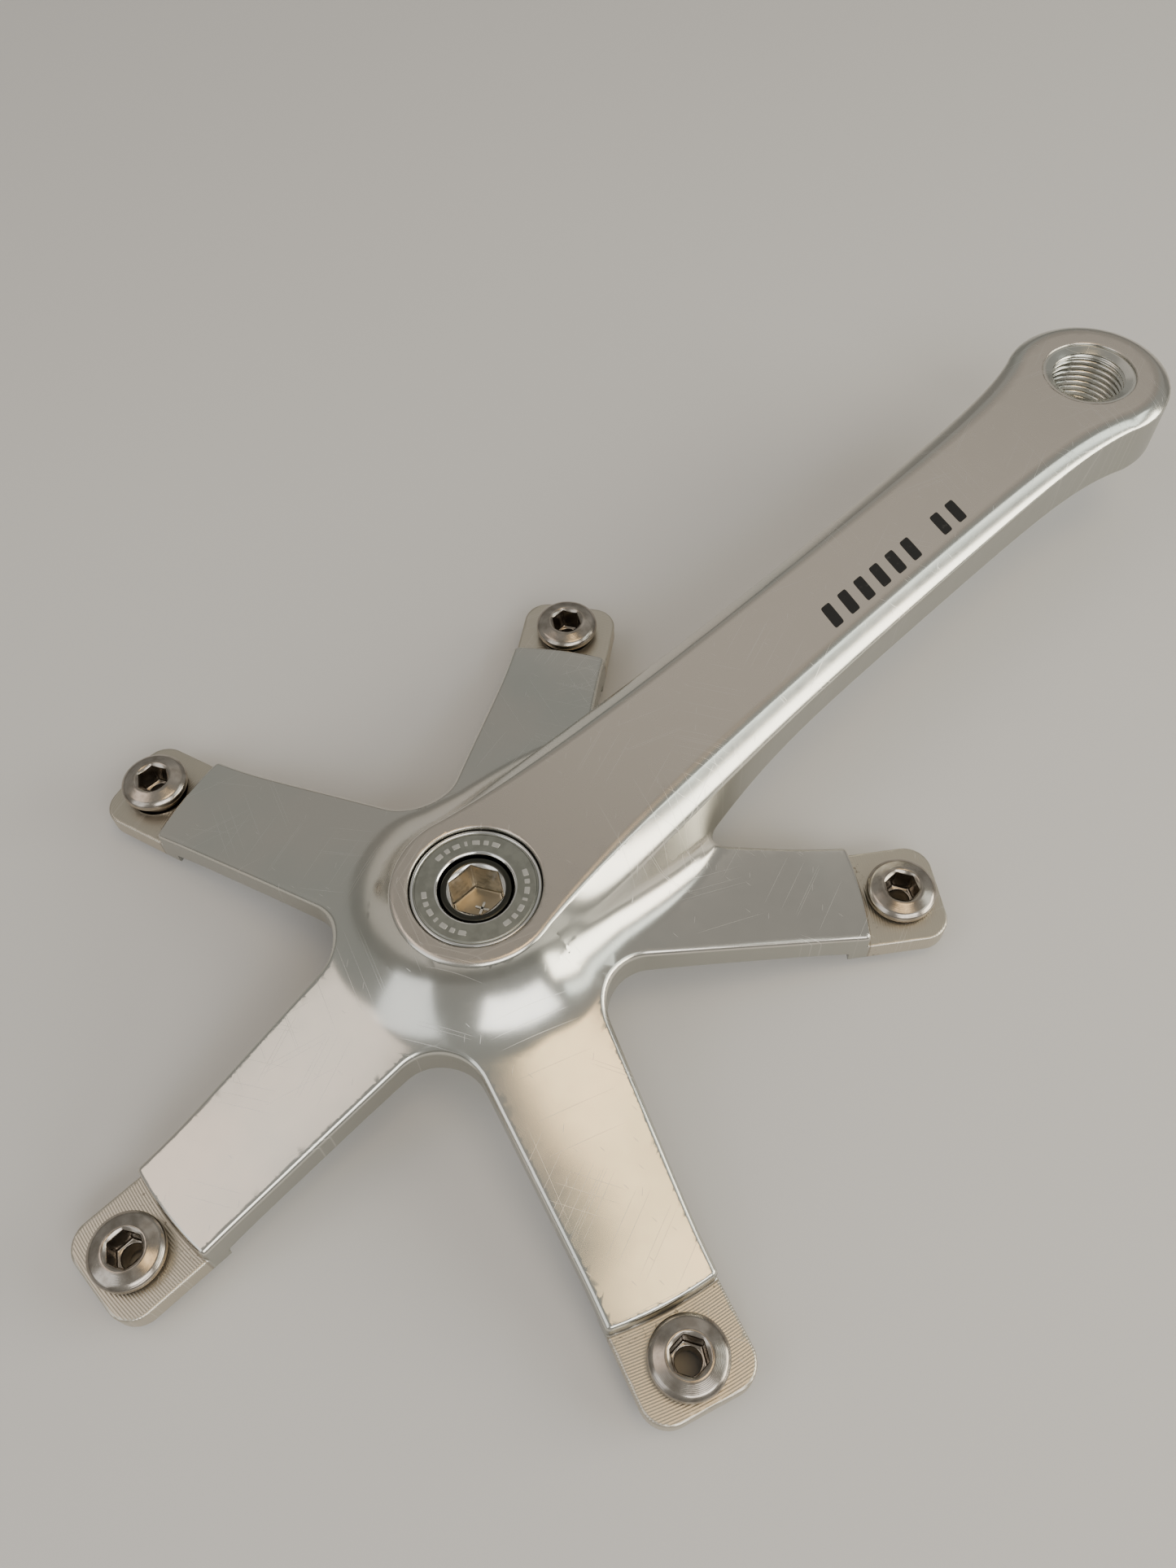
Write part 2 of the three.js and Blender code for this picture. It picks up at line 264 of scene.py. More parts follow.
def contoured(
    distance: Field, low: Array, high: Array, pitch: Array, rounds: int, block: int = 4
) -> Skin:
    """The surface where a distance function is zero, by dual contouring on a box grid.

    Every grid edge that the surface crosses gives one face, between the four cells round it.
    A cell's point x makes the sum of (n . (x - p))^2 over its crossings least, where p is a
    crossing and n the gradient there, plus a small pull to their mean, so edges come out
    crisp. Each face is then split along the diagonal that bends least, and the triangles are
    refined. Only blocks of cells near the surface are worked out.

    Args:
        distance: The signed distance in mm, negative inside.
        low: The lowest corner of the grid.
        high: A corner that the grid reaches at least.
        pitch: The size of a cell along each axis.
        rounds: How often bent edges are split.
        block: Cells along each side of a block.

    Returns:
        The surface, with a normal for each point.
    """
    blocks = np.ceil((high - low) / pitch / block).astype(int)
    axes = [low[i] + pitch[i] * block * (np.arange(blocks[i]) + 0.5) for i in range(3)]
    middles = np.stack(np.meshgrid(*axes, indexing="ij"), axis=-1).reshape(-1, 3)
    rough = distance(middles).reshape(blocks)
    share_of_diagonal, margin = 0.62, 0.4
    reach = share_of_diagonal * block * float(np.linalg.norm(pitch)) + margin
    near = np.kron(np.abs(rough) < reach, np.ones((block,) * 3, bool))
    needed = np.zeros(np.array(near.shape) + 1, bool)
    for shift in np.ndindex(2, 2, 2):
        window = tuple(slice(s, s + n) for s, n in zip(shift, near.shape))
        needed[window] |= near
    values = np.pad(np.kron(rough, np.ones((block,) * 3)), ((0, 1),) * 3, mode="edge")
    index = np.argwhere(needed)
    values[needed] = distance(low + index * pitch)

    inside = values < 0
    unit = np.eye(3, dtype=int)
    points, cells = [], []
    for axis in range(3):
        first = [slice(None)] * 3
        second = [slice(None)] * 3
        first[axis], second[axis] = slice(None, -1), slice(1, None)
        start, end = inside[tuple(first)], inside[tuple(second)]
        where = np.argwhere(start != end)
        outward = start[tuple(where.T)]
        f0 = values[tuple(where.T)]
        f1 = values[tuple((where + unit[axis]).T)]
        a, b = np.zeros(len(where)), np.ones(len(where))
        base = low + where * pitch
        for _ in range(3):
            t = a + (b - a) * f0 / (f0 - f1)
            f = distance(base + t[:, None] * pitch * unit[axis])
            same = (f < 0) == (f0 < 0)
            a, f0 = np.where(same, t, a), np.where(same, f, f0)
            b, f1 = np.where(same, b, t), np.where(same, f1, f)
        u, v = unit[(axis + 1) % 3], unit[(axis + 2) % 3]
        ring = np.stack([where - u - v, where - v, where, where - u], axis=1)
        ring = np.where(outward[:, None, None], ring, ring[:, ::-1])
        points.append(base + t[:, None] * pitch * unit[axis])
        cells.append(ring)
    points, cells = np.vstack(points), np.vstack(cells)
    normals = gradient(distance, points)

    shape = np.array(values.shape)
    ids = np.ravel_multi_index(tuple(cells.reshape(-1, 3).T), shape)
    used, corner = np.unique(ids, return_inverse=True)
    corner = corner.reshape(-1)
    middle = low + (np.stack(np.unravel_index(used, shape), axis=1) + 0.5) * pitch
    p = np.repeat(points, 4, axis=0) - middle[corner]
    n = np.repeat(normals, 4, axis=0)
    count = np.bincount(corner)

    def summed(value: Array) -> Array:
        """A value added up over the crossings of each cell."""
        return np.bincount(corner, weights=value, minlength=len(used))

    matrix = np.stack([summed(n[:, i] * n[:, j]) for i in range(3) for j in range(3)], axis=1)
    along = (n * p).sum(axis=1)
    right = np.stack([summed(n[:, i] * along) for i in range(3)], axis=1)
    mean = np.stack([summed(p[:, i]) for i in range(3)], axis=1)
    pull, leash = 0.03, 0.55 * pitch
    matrix = matrix.reshape(-1, 3, 3) + pull * count[:, None, None] * np.eye(3)
    offset = np.linalg.solve(matrix, (right + pull * mean)[:, :, None])[:, :, 0]
    vertices = middle + np.clip(offset, -leash, leash)
    faces = corner.reshape(-1, 4)
    vertices, normals = settled(distance, vertices)
    across = (normals[faces[:, 0]] * normals[faces[:, 2]]).sum(axis=1)
    other = (normals[faces[:, 1]] * normals[faces[:, 3]]).sum(axis=1)
    faces = np.where((across > other)[:, None], faces, np.roll(faces, 1, axis=1))
    triangles = np.vstack([faces[:, [0, 1, 2]], faces[:, [0, 2, 3]]])
    return refined(distance, vertices, normals, triangles, rounds)


def settled(distance: Field, points: Array) -> tuple[Array, Array]:
    """Points moved onto the surface in two steps down the gradient, and their normals."""
    for _ in range(2):
        step = np.clip(distance(points), -0.3, 0.3)
        points = points - step[:, None] * gradient(distance, points)
    return points, gradient(distance, points)


def refined(
    distance: Field, points: Array, normals: Array, triangles: Array, rounds: int
) -> Skin:
    """Splits the edges that bend, so that tight roundings get small triangles.

    An edge that is longer than a limit and whose ends' normals are further apart than the
    angle that goes with it gets a point on the surface near its middle. A triangle with one
    such edge becomes two, with two such edges three, and with three such edges four, so no
    gaps open.

    Args:
        distance: The signed distance in mm.
        points: Points on the surface.
        normals: Their normals.
        triangles: Three points for each triangle.
        rounds: How often the edges are split.

    Returns:
        The surface, with a normal for each point.
    """
    for _ in range(rounds):
        ends = np.sort(np.stack([triangles, np.roll(triangles, -1, axis=1)], axis=-1), axis=-1)
        key = ends[..., 0] * len(points) + ends[..., 1]
        edges, edge_of = np.unique(key, return_inverse=True)
        edge_of = edge_of.reshape(-1, 3)
        a, b = np.divmod(edges, len(points))
        agree = (normals[a] * normals[b]).sum(axis=1)
        long = np.linalg.norm(points[a] - points[b], axis=1)
        bent = (agree < np.cos(np.radians(SHARP_BEND))) & (long > SHARP_LENGTH)
        bent |= (agree < np.cos(np.radians(SOFT_BEND))) & (long > SOFT_LENGTH)
        middle = np.full(len(edges), -1)
        middle[bent] = len(points) + np.arange(bent.sum())
        added, added_normals = settled(distance, (points[a[bent]] + points[b[bent]]) / 2)
        points, normals = np.vstack([points, added]), np.vstack([normals, added_normals])
        middles = middle[edge_of]
        split = middles >= 0
        count = split.sum(axis=1)
        first = np.where(count == 1, split.argmax(axis=1), (split.argmin(axis=1) + 1) % 3)
        order = (np.arange(3)[None, :] + first[:, None]) % 3
        (p, q, r), (u, v, w) = (
            np.take_along_axis(held, order, axis=1).T for held in (triangles, middles)
        )
        one, two, three = count == 1, count == 2, count == 3
        parts = [
            (count == 0, (p, q, r)),
            (one, (p, u, r)), (one, (u, q, r)),
            (two, (u, q, v)), (two, (p, u, v)), (two, (p, v, r)),
            (three, (p, u, w)), (three, (u, q, v)), (three, (w, v, r)), (three, (u, v, w)),
        ]
        triangles = np.vstack([np.stack(corners, axis=1)[mask] for mask, corners in parts])
    return Skin(points, triangles[:, [0, 1, 2, 2]], normals)


# ---- node graphs -------------------------------------------------------------------------


class Graph:
    """A short way to write a node material on object coordinates in millimetres."""

    def __init__(self, name: str) -> None:
        """Starts a material with its Principled shader and its coordinates.

        Args:
            name: The material's name.
        """
        self.material = bpy.data.materials.new(name)
        self.material.use_nodes = True
        self.tree = self.material.node_tree
        self.shader = self.tree.nodes["Principled BSDF"]
        self.coordinates = self.tree.nodes.new("ShaderNodeTexCoord")
        self.place = self.scaled(self.coordinates.outputs["Object"], (1 / MM,) * 3)
        self.x, self.y, self.z = self.split(self.place)

    def node(self, kind: str, **inputs: Any) -> Any:
        """Adds a node and sets or links its inputs, given by name with _ for a space."""
        made = self.tree.nodes.new(kind)
        for name, value in inputs.items():
            self.put(made.inputs[name.replace("_", " ")], value)
        return made

    def put(self, socket: Any, value: Any) -> None:
        """Links an output to a socket, or sets a plain value on it."""
        if isinstance(value, bpy.types.NodeSocket):
            self.tree.links.new(value, socket)
        elif value is not None:
            socket.default_value = value

    def scaled(self, vector: Any, scale: Sequence[float], turn: float = 0.0) -> Any:
        """A vector turned about Z by an angle in radians and then scaled along each axis."""
        if turn:
            vector = self.node("ShaderNodeVectorRotate", Vector=vector, Angle=turn).outputs[0]
        made = self.tree.nodes.new("ShaderNodeVectorMath")
        made.operation = "MULTIPLY"
        self.put(made.inputs[0], vector)
        made.inputs[1].default_value = tuple(scale)
        return made.outputs[0]

    def split(self, vector: Any) -> Sequence[Any]:
        """The three numbers of a vector."""
        return self.node("ShaderNodeSeparateXYZ", Vector=vector).outputs[:3]

    def math(self, operation: str, a: Any, b: Any = None, c: Any = None) -> Any:
        """One Math node."""
        made = self.tree.nodes.new("ShaderNodeMath")
        made.operation = operation
        for socket, value in zip(made.inputs, (a, b, c)):
            self.put(socket, value)
        return made.outputs[0]

    def radius(self, x: float = 0.0, y: float = 0.0) -> Any:
        """Distance from the upright line through x and y: sqrt(dx^2 + dy^2)."""
        dx, dy = self.math("SUBTRACT", self.x, x), self.math("SUBTRACT", self.y, y)
        square = self.math("ADD", self.math("MULTIPLY", dx, dx), self.math("MULTIPLY", dy, dy))
        return self.math("SQRT", square)

    def rings(self, radius: Any, pitch: float) -> Any:
        """A sine wave of the radius, from -1 to 1."""
        return self.math("SINE", self.math("MULTIPLY", radius, TURN / pitch))

    def ease(self, value: Any, start: float, end: float) -> Any:
        """0 before start, 1 after end and a smooth climb between; start may be the larger."""
        made = self.tree.nodes.new("ShaderNodeMapRange")
        made.interpolation_type = "SMOOTHSTEP"
        low, high = min(start, end), max(start, end)
        values = (value, low, high, float(start > end), float(end > start))
        for socket, given in zip(made.inputs[:5], values):
            self.put(socket, given)
        return made.outputs[0]

    def blend(self, factor: Any, a: Any, b: Any) -> Any:
        """A colour between a and b."""
        made = self.tree.nodes.new("ShaderNodeMix")
        made.data_type = "RGBA"
        self.put(made.inputs[0], factor)
        self.put(made.inputs[6], (*a, 1.0) if isinstance(a, tuple) else a)
        self.put(made.inputs[7], (*b, 1.0) if isinstance(b, tuple) else b)
        return made.outputs[2]

    def between(self, factor: Any, a: Any, b: Any) -> Any:
        """A number between a and b."""
        made = self.tree.nodes.new("ShaderNodeMix")
        self.put(made.inputs[0], factor)
        self.put(made.inputs[2], a)
        self.put(made.inputs[3], b)
        return made.outputs[0]

    def noise(self, scale: float, vector: Any = None, detail: float = 3.0) -> Any:
        """Noise from 0 to 1 with scale cells per millimetre."""
        vector = self.place if vector is None else vector
        made = self.node("ShaderNodeTexNoise", Vector=vector, Scale=scale, Detail=detail)
        return made.outputs[0]

    def scratches(self, turn: float, length: float, width: float, share: float) -> Any:
        """Straight scratches that run one way: cells drawn out long, with a line in a few.

        Args:
            turn: The angle of the scratches from +X, in radians.
            length: About how long one is, in mm.
            width: About how wide one is, in mm.
            share: Which part of the cells holds one.

        Returns:
            1 in a scratch and 0 beside it.
        """
        reach = 0.22
        drawn = self.scaled(self.place, (2 * reach / length, 2 * reach / width, 0.0), -turn)
        cells = self.node("ShaderNodeTexVoronoi", Vector=drawn, Scale=1.0)
        cells.voronoi_dimensions = "2D"
        red = self.split(cells.outputs["Color"])[0]
        line = self.ease(cells.outputs["Distance"], reach, 0.6 * reach)
        return self.math("MULTIPLY", line, self.ease(red, 1 - share, 1.001 - share))

    def bump(self, height: Any, distance: float, strength: float, before: Any = None) -> Any:
        """A bump of a height field, distance in millimetres."""
        made = self.node(
            "ShaderNodeBump", Height=height, Distance=distance * MM, Strength=strength
        )
        if before is not None:
            self.put(made.inputs["Normal"], before)
        return made.outputs[0]

    def finish(
        self, colour: Any, roughness: Any, normal: Any = None, metallic: Any = 1.0
    ) -> Any:
        """Feeds the shader.

        Args:
            colour: Base colour, a tuple or an output.
            roughness: A number or an output.
            normal: An output of bump, or None.
            metallic: A number or an output.

        Returns:
            The material.
        """
        self.put(
            self.shader.inputs["Base Color"],
            (*colour, 1.0) if isinstance(colour, tuple) else colour,
        )
        self.put(self.shader.inputs["Roughness"], roughness)
        self.put(self.shader.inputs["Metallic"], metallic)
        if normal is not None:
            self.put(self.shader.inputs["Normal"], normal)
        return self.material


# ---- finishes ----------------------------------------------------------------------------


@dataclass(frozen=True)
class ForgedAluminium:
    """Polished forging: hazy spider, satin outboard face, bright shoulders, turned tab faces,
    painted shade on the side walls and a painted shade line at the foot of the ring's step.
    """

    warm: Colour = (0.66, 0.625, 0.565)
    cool: Colour = (0.60, 0.60, 0.55)
    face: Colour = (0.62, 0.558, 0.488)
    tab: Colour = (0.57, 0.525, 0.44)
    # Painted shade: the colour for faces that look sideways, darker than the metal elsewhere.
    wall: Colour = (0.42, 0.42, 0.385)
    line: Colour = (0.80, 0.78, 0.74)
    # Colour for the grease specks by the step, and for the painted shade line at the step's foot.
    grime_and_shade: Colour = (0.10, 0.075, 0.05)
    polish: float = 0.18
    satin: float = 0.28
    dull: float = 0.3
    machined: float = 0.36
    step_radius: float = 64.8
    groove_pitch: float = 0.42
    tab_level: tuple[float, float] = (7.3, 7.1)
    scratches: tuple[tuple[float, float, float, float], ...] = (
        (0.35, 14.0, 0.10, 0.05),
        (1.25, 18.0, 0.09, 0.05),
        (2.1, 12.0, 0.10, 0.05),
        (2.8, 16.0, 0.09, 0.04),
        (0.7, 1.6, 0.14, 0.012),
        (1.7, 1.3, 0.14, 0.012),
    )

    def material(self, arm: "ArmForm") -> Any:
        """Builds the material.

        Args:
            arm: The crank arm, for the height of its outboard face.

        Returns:
            The material.
        """
        g = Graph("polished_forging")
        radius = g.radius()
        face = g.math("MULTIPLY_ADD", g.x, arm.rise, arm.top)
        on_face = g.ease(g.math("SUBTRACT", face, g.z), 0.35, 0.05)
        outside_step = g.ease(radius, self.step_radius + 0.02, self.step_radius + 0.1)
        on_tab = g.math("MULTIPLY", outside_step, g.ease(g.z, *self.tab_level))
        clouds = g.noise(0.035, detail=4.0)
        haze = g.noise(0.35, g.scaled(g.place, (1.0, 1.0, 0.3)), 5.0)
        colour = g.blend(g.ease(clouds, 0.35, 0.65), self.cool, self.warm)
        colour = g.blend(on_face, colour, self.face)
        # Faces that look sideways take the darker wall colour as painted shade, and a duller
        # roughness.
        upright = g.math("ABSOLUTE", g.split(g.coordinates.outputs["Normal"])[2])
        on_wall = g.ease(upright, 0.45, 0.2)
        colour = g.blend(on_wall, colour, self.wall)
        colour = g.blend(on_tab, colour, self.tab)
        lines = [g.scratches(*each) for each in self.scratches]
        scratched = lines[0]
        for more in lines[1:]:
            scratched = g.math("MAXIMUM", scratched, more)
        specks = g.ease(g.noise(1.3, detail=4.0), 0.60, 0.68)
        at_step = g.ease(radius, self.step_radius + 3.2, self.step_radius + 0.3)
        grime_and_step_shade = g.math("MULTIPLY", g.math("MULTIPLY", specks, at_step), on_tab)
        # Painted shade: a dark line in the corner at the step's foot, added to the grime specks at
        # 0.75. It also lowers the metallic value there.
        line = g.math(
            "MULTIPLY", g.ease(radius, self.step_radius + 0.55, self.step_radius + 0.25), on_tab
        )
        grime_and_step_shade = g.math("MAXIMUM", grime_and_step_shade, g.math("MULTIPLY", line, 0.75))
        colour = g.blend(g.math("MULTIPLY", grime_and_step_shade, 0.8), colour, self.grime_and_shade)
        colour = g.blend(g.math("MULTIPLY", scratched, 0.4), colour, self.line)
        grooves = g.rings(radius, self.groove_pitch)
        roughness = g.between(on_face, self.polish, self.satin)
        roughness = g.between(on_wall, roughness, self.dull)
        roughness = g.between(on_tab, roughness, self.machined)
        wander = g.math("MULTIPLY_ADD", haze, 0.08, -0.04)
        roughness = g.math("ADD", roughness, wander)
        roughness = g.math("ADD", roughness, g.math("MULTIPLY", scratched, 0.15))
        metallic = g.math("MULTIPLY_ADD", grime_and_step_shade, -0.7, 1.0)
        normal = g.bump(g.math("MULTIPLY", grooves, on_tab), 0.012, 0.8)
        normal = g.bump(scratched, 0.003, 0.3, normal)
        normal = g.bump(haze, 0.004, 0.1, normal)
        return g.finish(colour, roughness, normal, metallic)


@dataclass(frozen=True)
class TurnedMetal:
    """Metal turned on a lathe: fine rings about the part's own axis, with a little wear."""

    name: str
    colour: Colour
    shade: Colour
    roughness: float
    centres: tuple[tuple[float, float], ...] = ((0.0, 0.0),)
    ring_pitch: float = 0.22
    ring_depth: float = 0.002

    def material(self) -> Any:
        """Builds the material; rings run about the nearest of the centres."""
        g = Graph(self.name)
        radius = None
        for x, y in self.centres:
            distance = g.radius(x, y)
            radius = distance if radius is None else g.math("MINIMUM", radius, distance)
        tone = g.noise(0.5, detail=4.0)
        wear = g.noise(3.0, detail=3.0)
        rings = g.rings(radius, self.ring_pitch)
        colour = g.blend(g.ease(tone, 0.35, 0.68), self.colour, self.shade)
        roughness = g.math("MULTIPLY_ADD", wear, 0.16, self.roughness - 0.07)
        normal = g.bump(rings, self.ring_depth, 0.6)
        normal = g.bump(wear, 0.004, 0.4, normal)
        return g.finish(colour, roughness, normal)


@dataclass(frozen=True)
class CrankBoltFinish:
    """Chromed bolt with a painted dark reflection on its head round the socket, and a darker warm
    brown at and below the socket's floor.
    """

    chrome: Colour = (0.80, 0.78, 0.74)
    # Painted dark reflection for the head round the socket.
    painted_dark_reflection: Colour = (0.055, 0.055, 0.046)
    # A darker warm brown for the socket's floor and everything below it.
    floor_brown: Colour = (0.36, 0.30, 0.21)
    head_radius: float = 4.6
    head_height: float = 28.0
    floor_height: float = 21.5

    def material(self) -> Any:
        """Builds the material."""
        g = Graph("crank_bolt_chrome")
        radius = g.radius()
        # Painted dark reflection: near black on the head round the socket, fading out down its
        # side.
        head_reflection_ring = g.ease(radius, self.head_radius, self.head_radius + 0.15)
        head_reflection_ring = g.math("MULTIPLY", head_reflection_ring, g.ease(g.z, self.head_height - 4, self.head_height))
        at_floor = g.ease(g.z, self.floor_height, self.floor_height - 0.15)
        stain = g.noise(0.7, detail=5.0)
        grain = g.noise(5.0, detail=3.0)
        stained = tuple(0.62 * c for c in self.chrome)
        colour = g.blend(g.ease(stain, 0.45, 0.7), self.chrome, stained)
        # Darker warm brown at and below the socket's floor.
        colour = g.blend(at_floor, colour, self.floor_brown)
        colour = g.blend(head_reflection_ring, colour, self.painted_dark_reflection)
        roughness = g.math("MULTIPLY_ADD", grain, 0.12, 0.14)
        roughness = g.between(g.math("MAXIMUM", head_reflection_ring, at_floor), roughness, 0.32)
        return g.finish(colour, roughness, g.bump(grain, 0.004, 0.4))


@dataclass(frozen=True)
class CapFinish:
    """Grey-green satin ring between two bright turned bevels."""

    face: Colour = (0.27, 0.278, 0.25)
    bright: Colour = (0.74, 0.73, 0.71)
    inner: float = 6.5
    outer: float = 9.95
    ring_pitch: float = 0.19

    def material(self) -> Any:
        """Builds the material."""
        g = Graph("satin_cap")
        radius = g.radius()
        blur = 0.06
        outer = g.ease(radius, self.outer - blur, self.outer)
        rim = g.math("MAXIMUM", outer, g.ease(radius, self.inner + blur, self.inner))
        tone = g.noise(0.6, detail=4.0)
        grain = g.noise(6.0, detail=3.0)
        face = g.blend(g.ease(tone, 0.35, 0.65), self.face, tuple(1.18 * c for c in self.face))
        colour = g.blend(rim, face, self.bright)
        roughness = g.between(rim, g.math("MULTIPLY_ADD", grain, 0.2, 0.3), 0.14)
        rings = g.rings(radius, self.ring_pitch)
        return g.finish(colour, roughness, g.bump(grain, 0.004, 0.5, g.bump(rings, 0.0015, 0.5)))


@dataclass(frozen=True)
class DullPlastic:
    """Black nylon with a faint mottle."""

    name: str = "black_nylon"
    colour: Colour = (0.012, 0.012, 0.012)

    def material(self) -> Any:
        """Builds the material."""
        g = Graph(self.name)
        mottle = g.noise(1.6, detail=4.0)
        colour = g.blend(g.ease(mottle, 0.3, 0.7), self.colour, (0.03, 0.029, 0.028))
        roughness = g.math("MULTIPLY_ADD", mottle, 0.25, 0.35)
        return g.finish(colour, roughness, g.bump(mottle, 0.01, 0.5), 0.0)


@dataclass(frozen=True)
class MarkingInk:
    """Printed or engraved marks: a flat tone that has worn in places."""

    name: str
    colour: Colour
    worn: Colour
    roughness: float
    metallic: float

    def material(self) -> Any:
        """Builds the material."""
        g = Graph(self.name)
        wear = g.ease(g.noise(0.9, detail=4.0), 0.62, 0.72)
        colour = g.blend(wear, self.colour, self.worn)
        grain = g.noise(5.0, detail=2.0)
        roughness = g.math("MULTIPLY_ADD", grain, 0.2, self.roughness - 0.1)
        return g.finish(colour, roughness, g.bump(grain, 0.003, 0.4), self.metallic)


@dataclass(frozen=True)
class StudioFloor:
    """Pale seamless floor with a very soft tone."""

    colour: Colour = (0.62, 0.612, 0.60)

    def material(self) -> Any:
        """Builds the material."""
        g = Graph("studio_floor")
        tone = g.noise(0.004, detail=2.0)
        darker = tuple(0.96 * c for c in self.colour)
        colour = g.blend(tone, self.colour, darker)
        return g.finish(colour, 0.6, g.bump(g.noise(0.8), 0.02, 0.15), 0.0)


# ---- the forging -------------------------------------------------------------------------


@dataclass(frozen=True)
class PlanRing:
    """A level outline of the crank arm: boss circle, flanks that swell at both ends, eye circle.

    The half width at x is waist + boss swell x decay + eye swell x growth, where decay is
    exp(-(x / reach)^power) and growth is exp((x - eye start) / 10.9).
    """

    waist: float
    boss: float
    eye: float
    reach: float
    power: float
    length: float = 165.0
    eye_reach: float = 10.9
    boss_angle: float = float(np.radians(75.0))
    eye_angle: float = float(np.radians(112.0))

    @property
    def ends(self) -> tuple[float, float]:
        """Where along x the flanks leave the boss circle and reach the eye circle."""
        start = self.boss * np.cos(self.boss_angle)
        return start, self.length + self.eye * np.cos(self.eye_angle)

    def half_width(self, x: Array) -> Array:
        """Half the outline's width along the flanks.

        Args:
            x: Where, along the arm.

        Returns:
            The half widths in mm.
        """
        start, end = self.ends

        def decay(at: Any) -> Any:
            """How much of the boss's swell is left."""
            return np.exp(-((np.maximum(at, 0) / self.reach) ** self.power))

        boss_swell = self.boss * np.sin(self.boss_angle) - self.waist
        eye_swell = self.eye * np.sin(self.eye_angle) - self.waist
        growth = np.exp((x - end) / self.eye_reach)
        return self.waist + boss_swell * decay(x) / decay(start) + eye_swell * growth

    def distance(self, x: Array, y: Array) -> Array:
        """Signed distance in plan: to a circle past either end, across the flank between.

        Args:
            x: Where, along the arm.
            y: Where, across the arm.

        Returns:
            The distances, negative inside.
        """
        start, end = self.ends
        along = np.clip(x, start, end)
        slope = self.half_width(along + 0.5) - self.half_width(along - 0.5)
        flank = (np.abs(y) - self.half_width(along)) / np.sqrt(1 + slope**2)
        boss = np.hypot(x, y) - self.boss
        eye = np.hypot(x - self.length, y) - self.eye
        return np.where(x < start, boss, np.where(x > end, eye, flank))


@dataclass(frozen=True)
class ArmForm:
    """The crank arm: flat outboard face, sloping shoulders, a crease, and walls below it."""

    top: float = 29.8
    rise: float = 0.02
    bottom: float = 15.0
    bottom_rise: float = 0.0215
    face: PlanRing = PlanRing(8.05, 13.5, 13.4, 24.0, 1.0)
    crease: PlanRing = PlanRing(11.9, 15.9, 16.2, 46.6, 1.67)
    foot: PlanRing = PlanRing(11.0, 20.0, 15.9, 43.3, 2.55)
    shoulder_depth: float = 4.8
    shoulder_closing: float = 0.0175
    wall_depth: float = 13.4

    def distance(self, x: Array, y: Array, z: Array) -> Array:
        """Signed distance to the arm.

        At depth u below the face the wall's plan distance is the crease's, plus what the face
        lies inside it times (1 - u/c)^p down to the crease depth c, and it goes over linearly
        to the foot's below that. It is divided by its slope, and cut by face and underside.

        Args:
            x: Where, along the arm.
            y: Where, across the arm.
            z: Where, in height.

        Returns:
            The distances, negative inside.
        """
        depth = (self.top + self.rise * x) - z
        crease_depth = np.clip(self.shoulder_depth - self.shoulder_closing * x, 1.2, 5.2)
        bow, settling = 0.42, 20.0
        power = 1 + bow * (1 - np.exp(-np.maximum(x, 0) / settling))
        face, crease, foot = (r.distance(x, y) for r in (self.face, self.crease, self.foot))
        left = np.clip(1 - depth / crease_depth, 0, 1)
        inset = np.maximum(face - crease, 0)
        shoulder = crease + inset * left**power
        slope = inset * power * np.maximum(left, 0.02) ** (power - 1) / crease_depth
        down = (depth - crease_depth) / (self.wall_depth - crease_depth)
        furthest = 0.78 + 0.02 * np.clip(x, 0, 25)
        wall = crease + (foot - crease) * np.clip(down, 0, furthest)
        wall_slope = (foot - crease) / (self.wall_depth - crease_depth)
        above = depth < crease_depth
        side = np.where(above, shoulder, wall)
        side = side / np.sqrt(1 + np.where(above, slope, wall_slope) ** 2)
        body = common(side, -depth / np.sqrt(1 + self.rise**2), 0.55)
        return common(body, (self.bottom + self.bottom_rise * x) - z, 2.2)


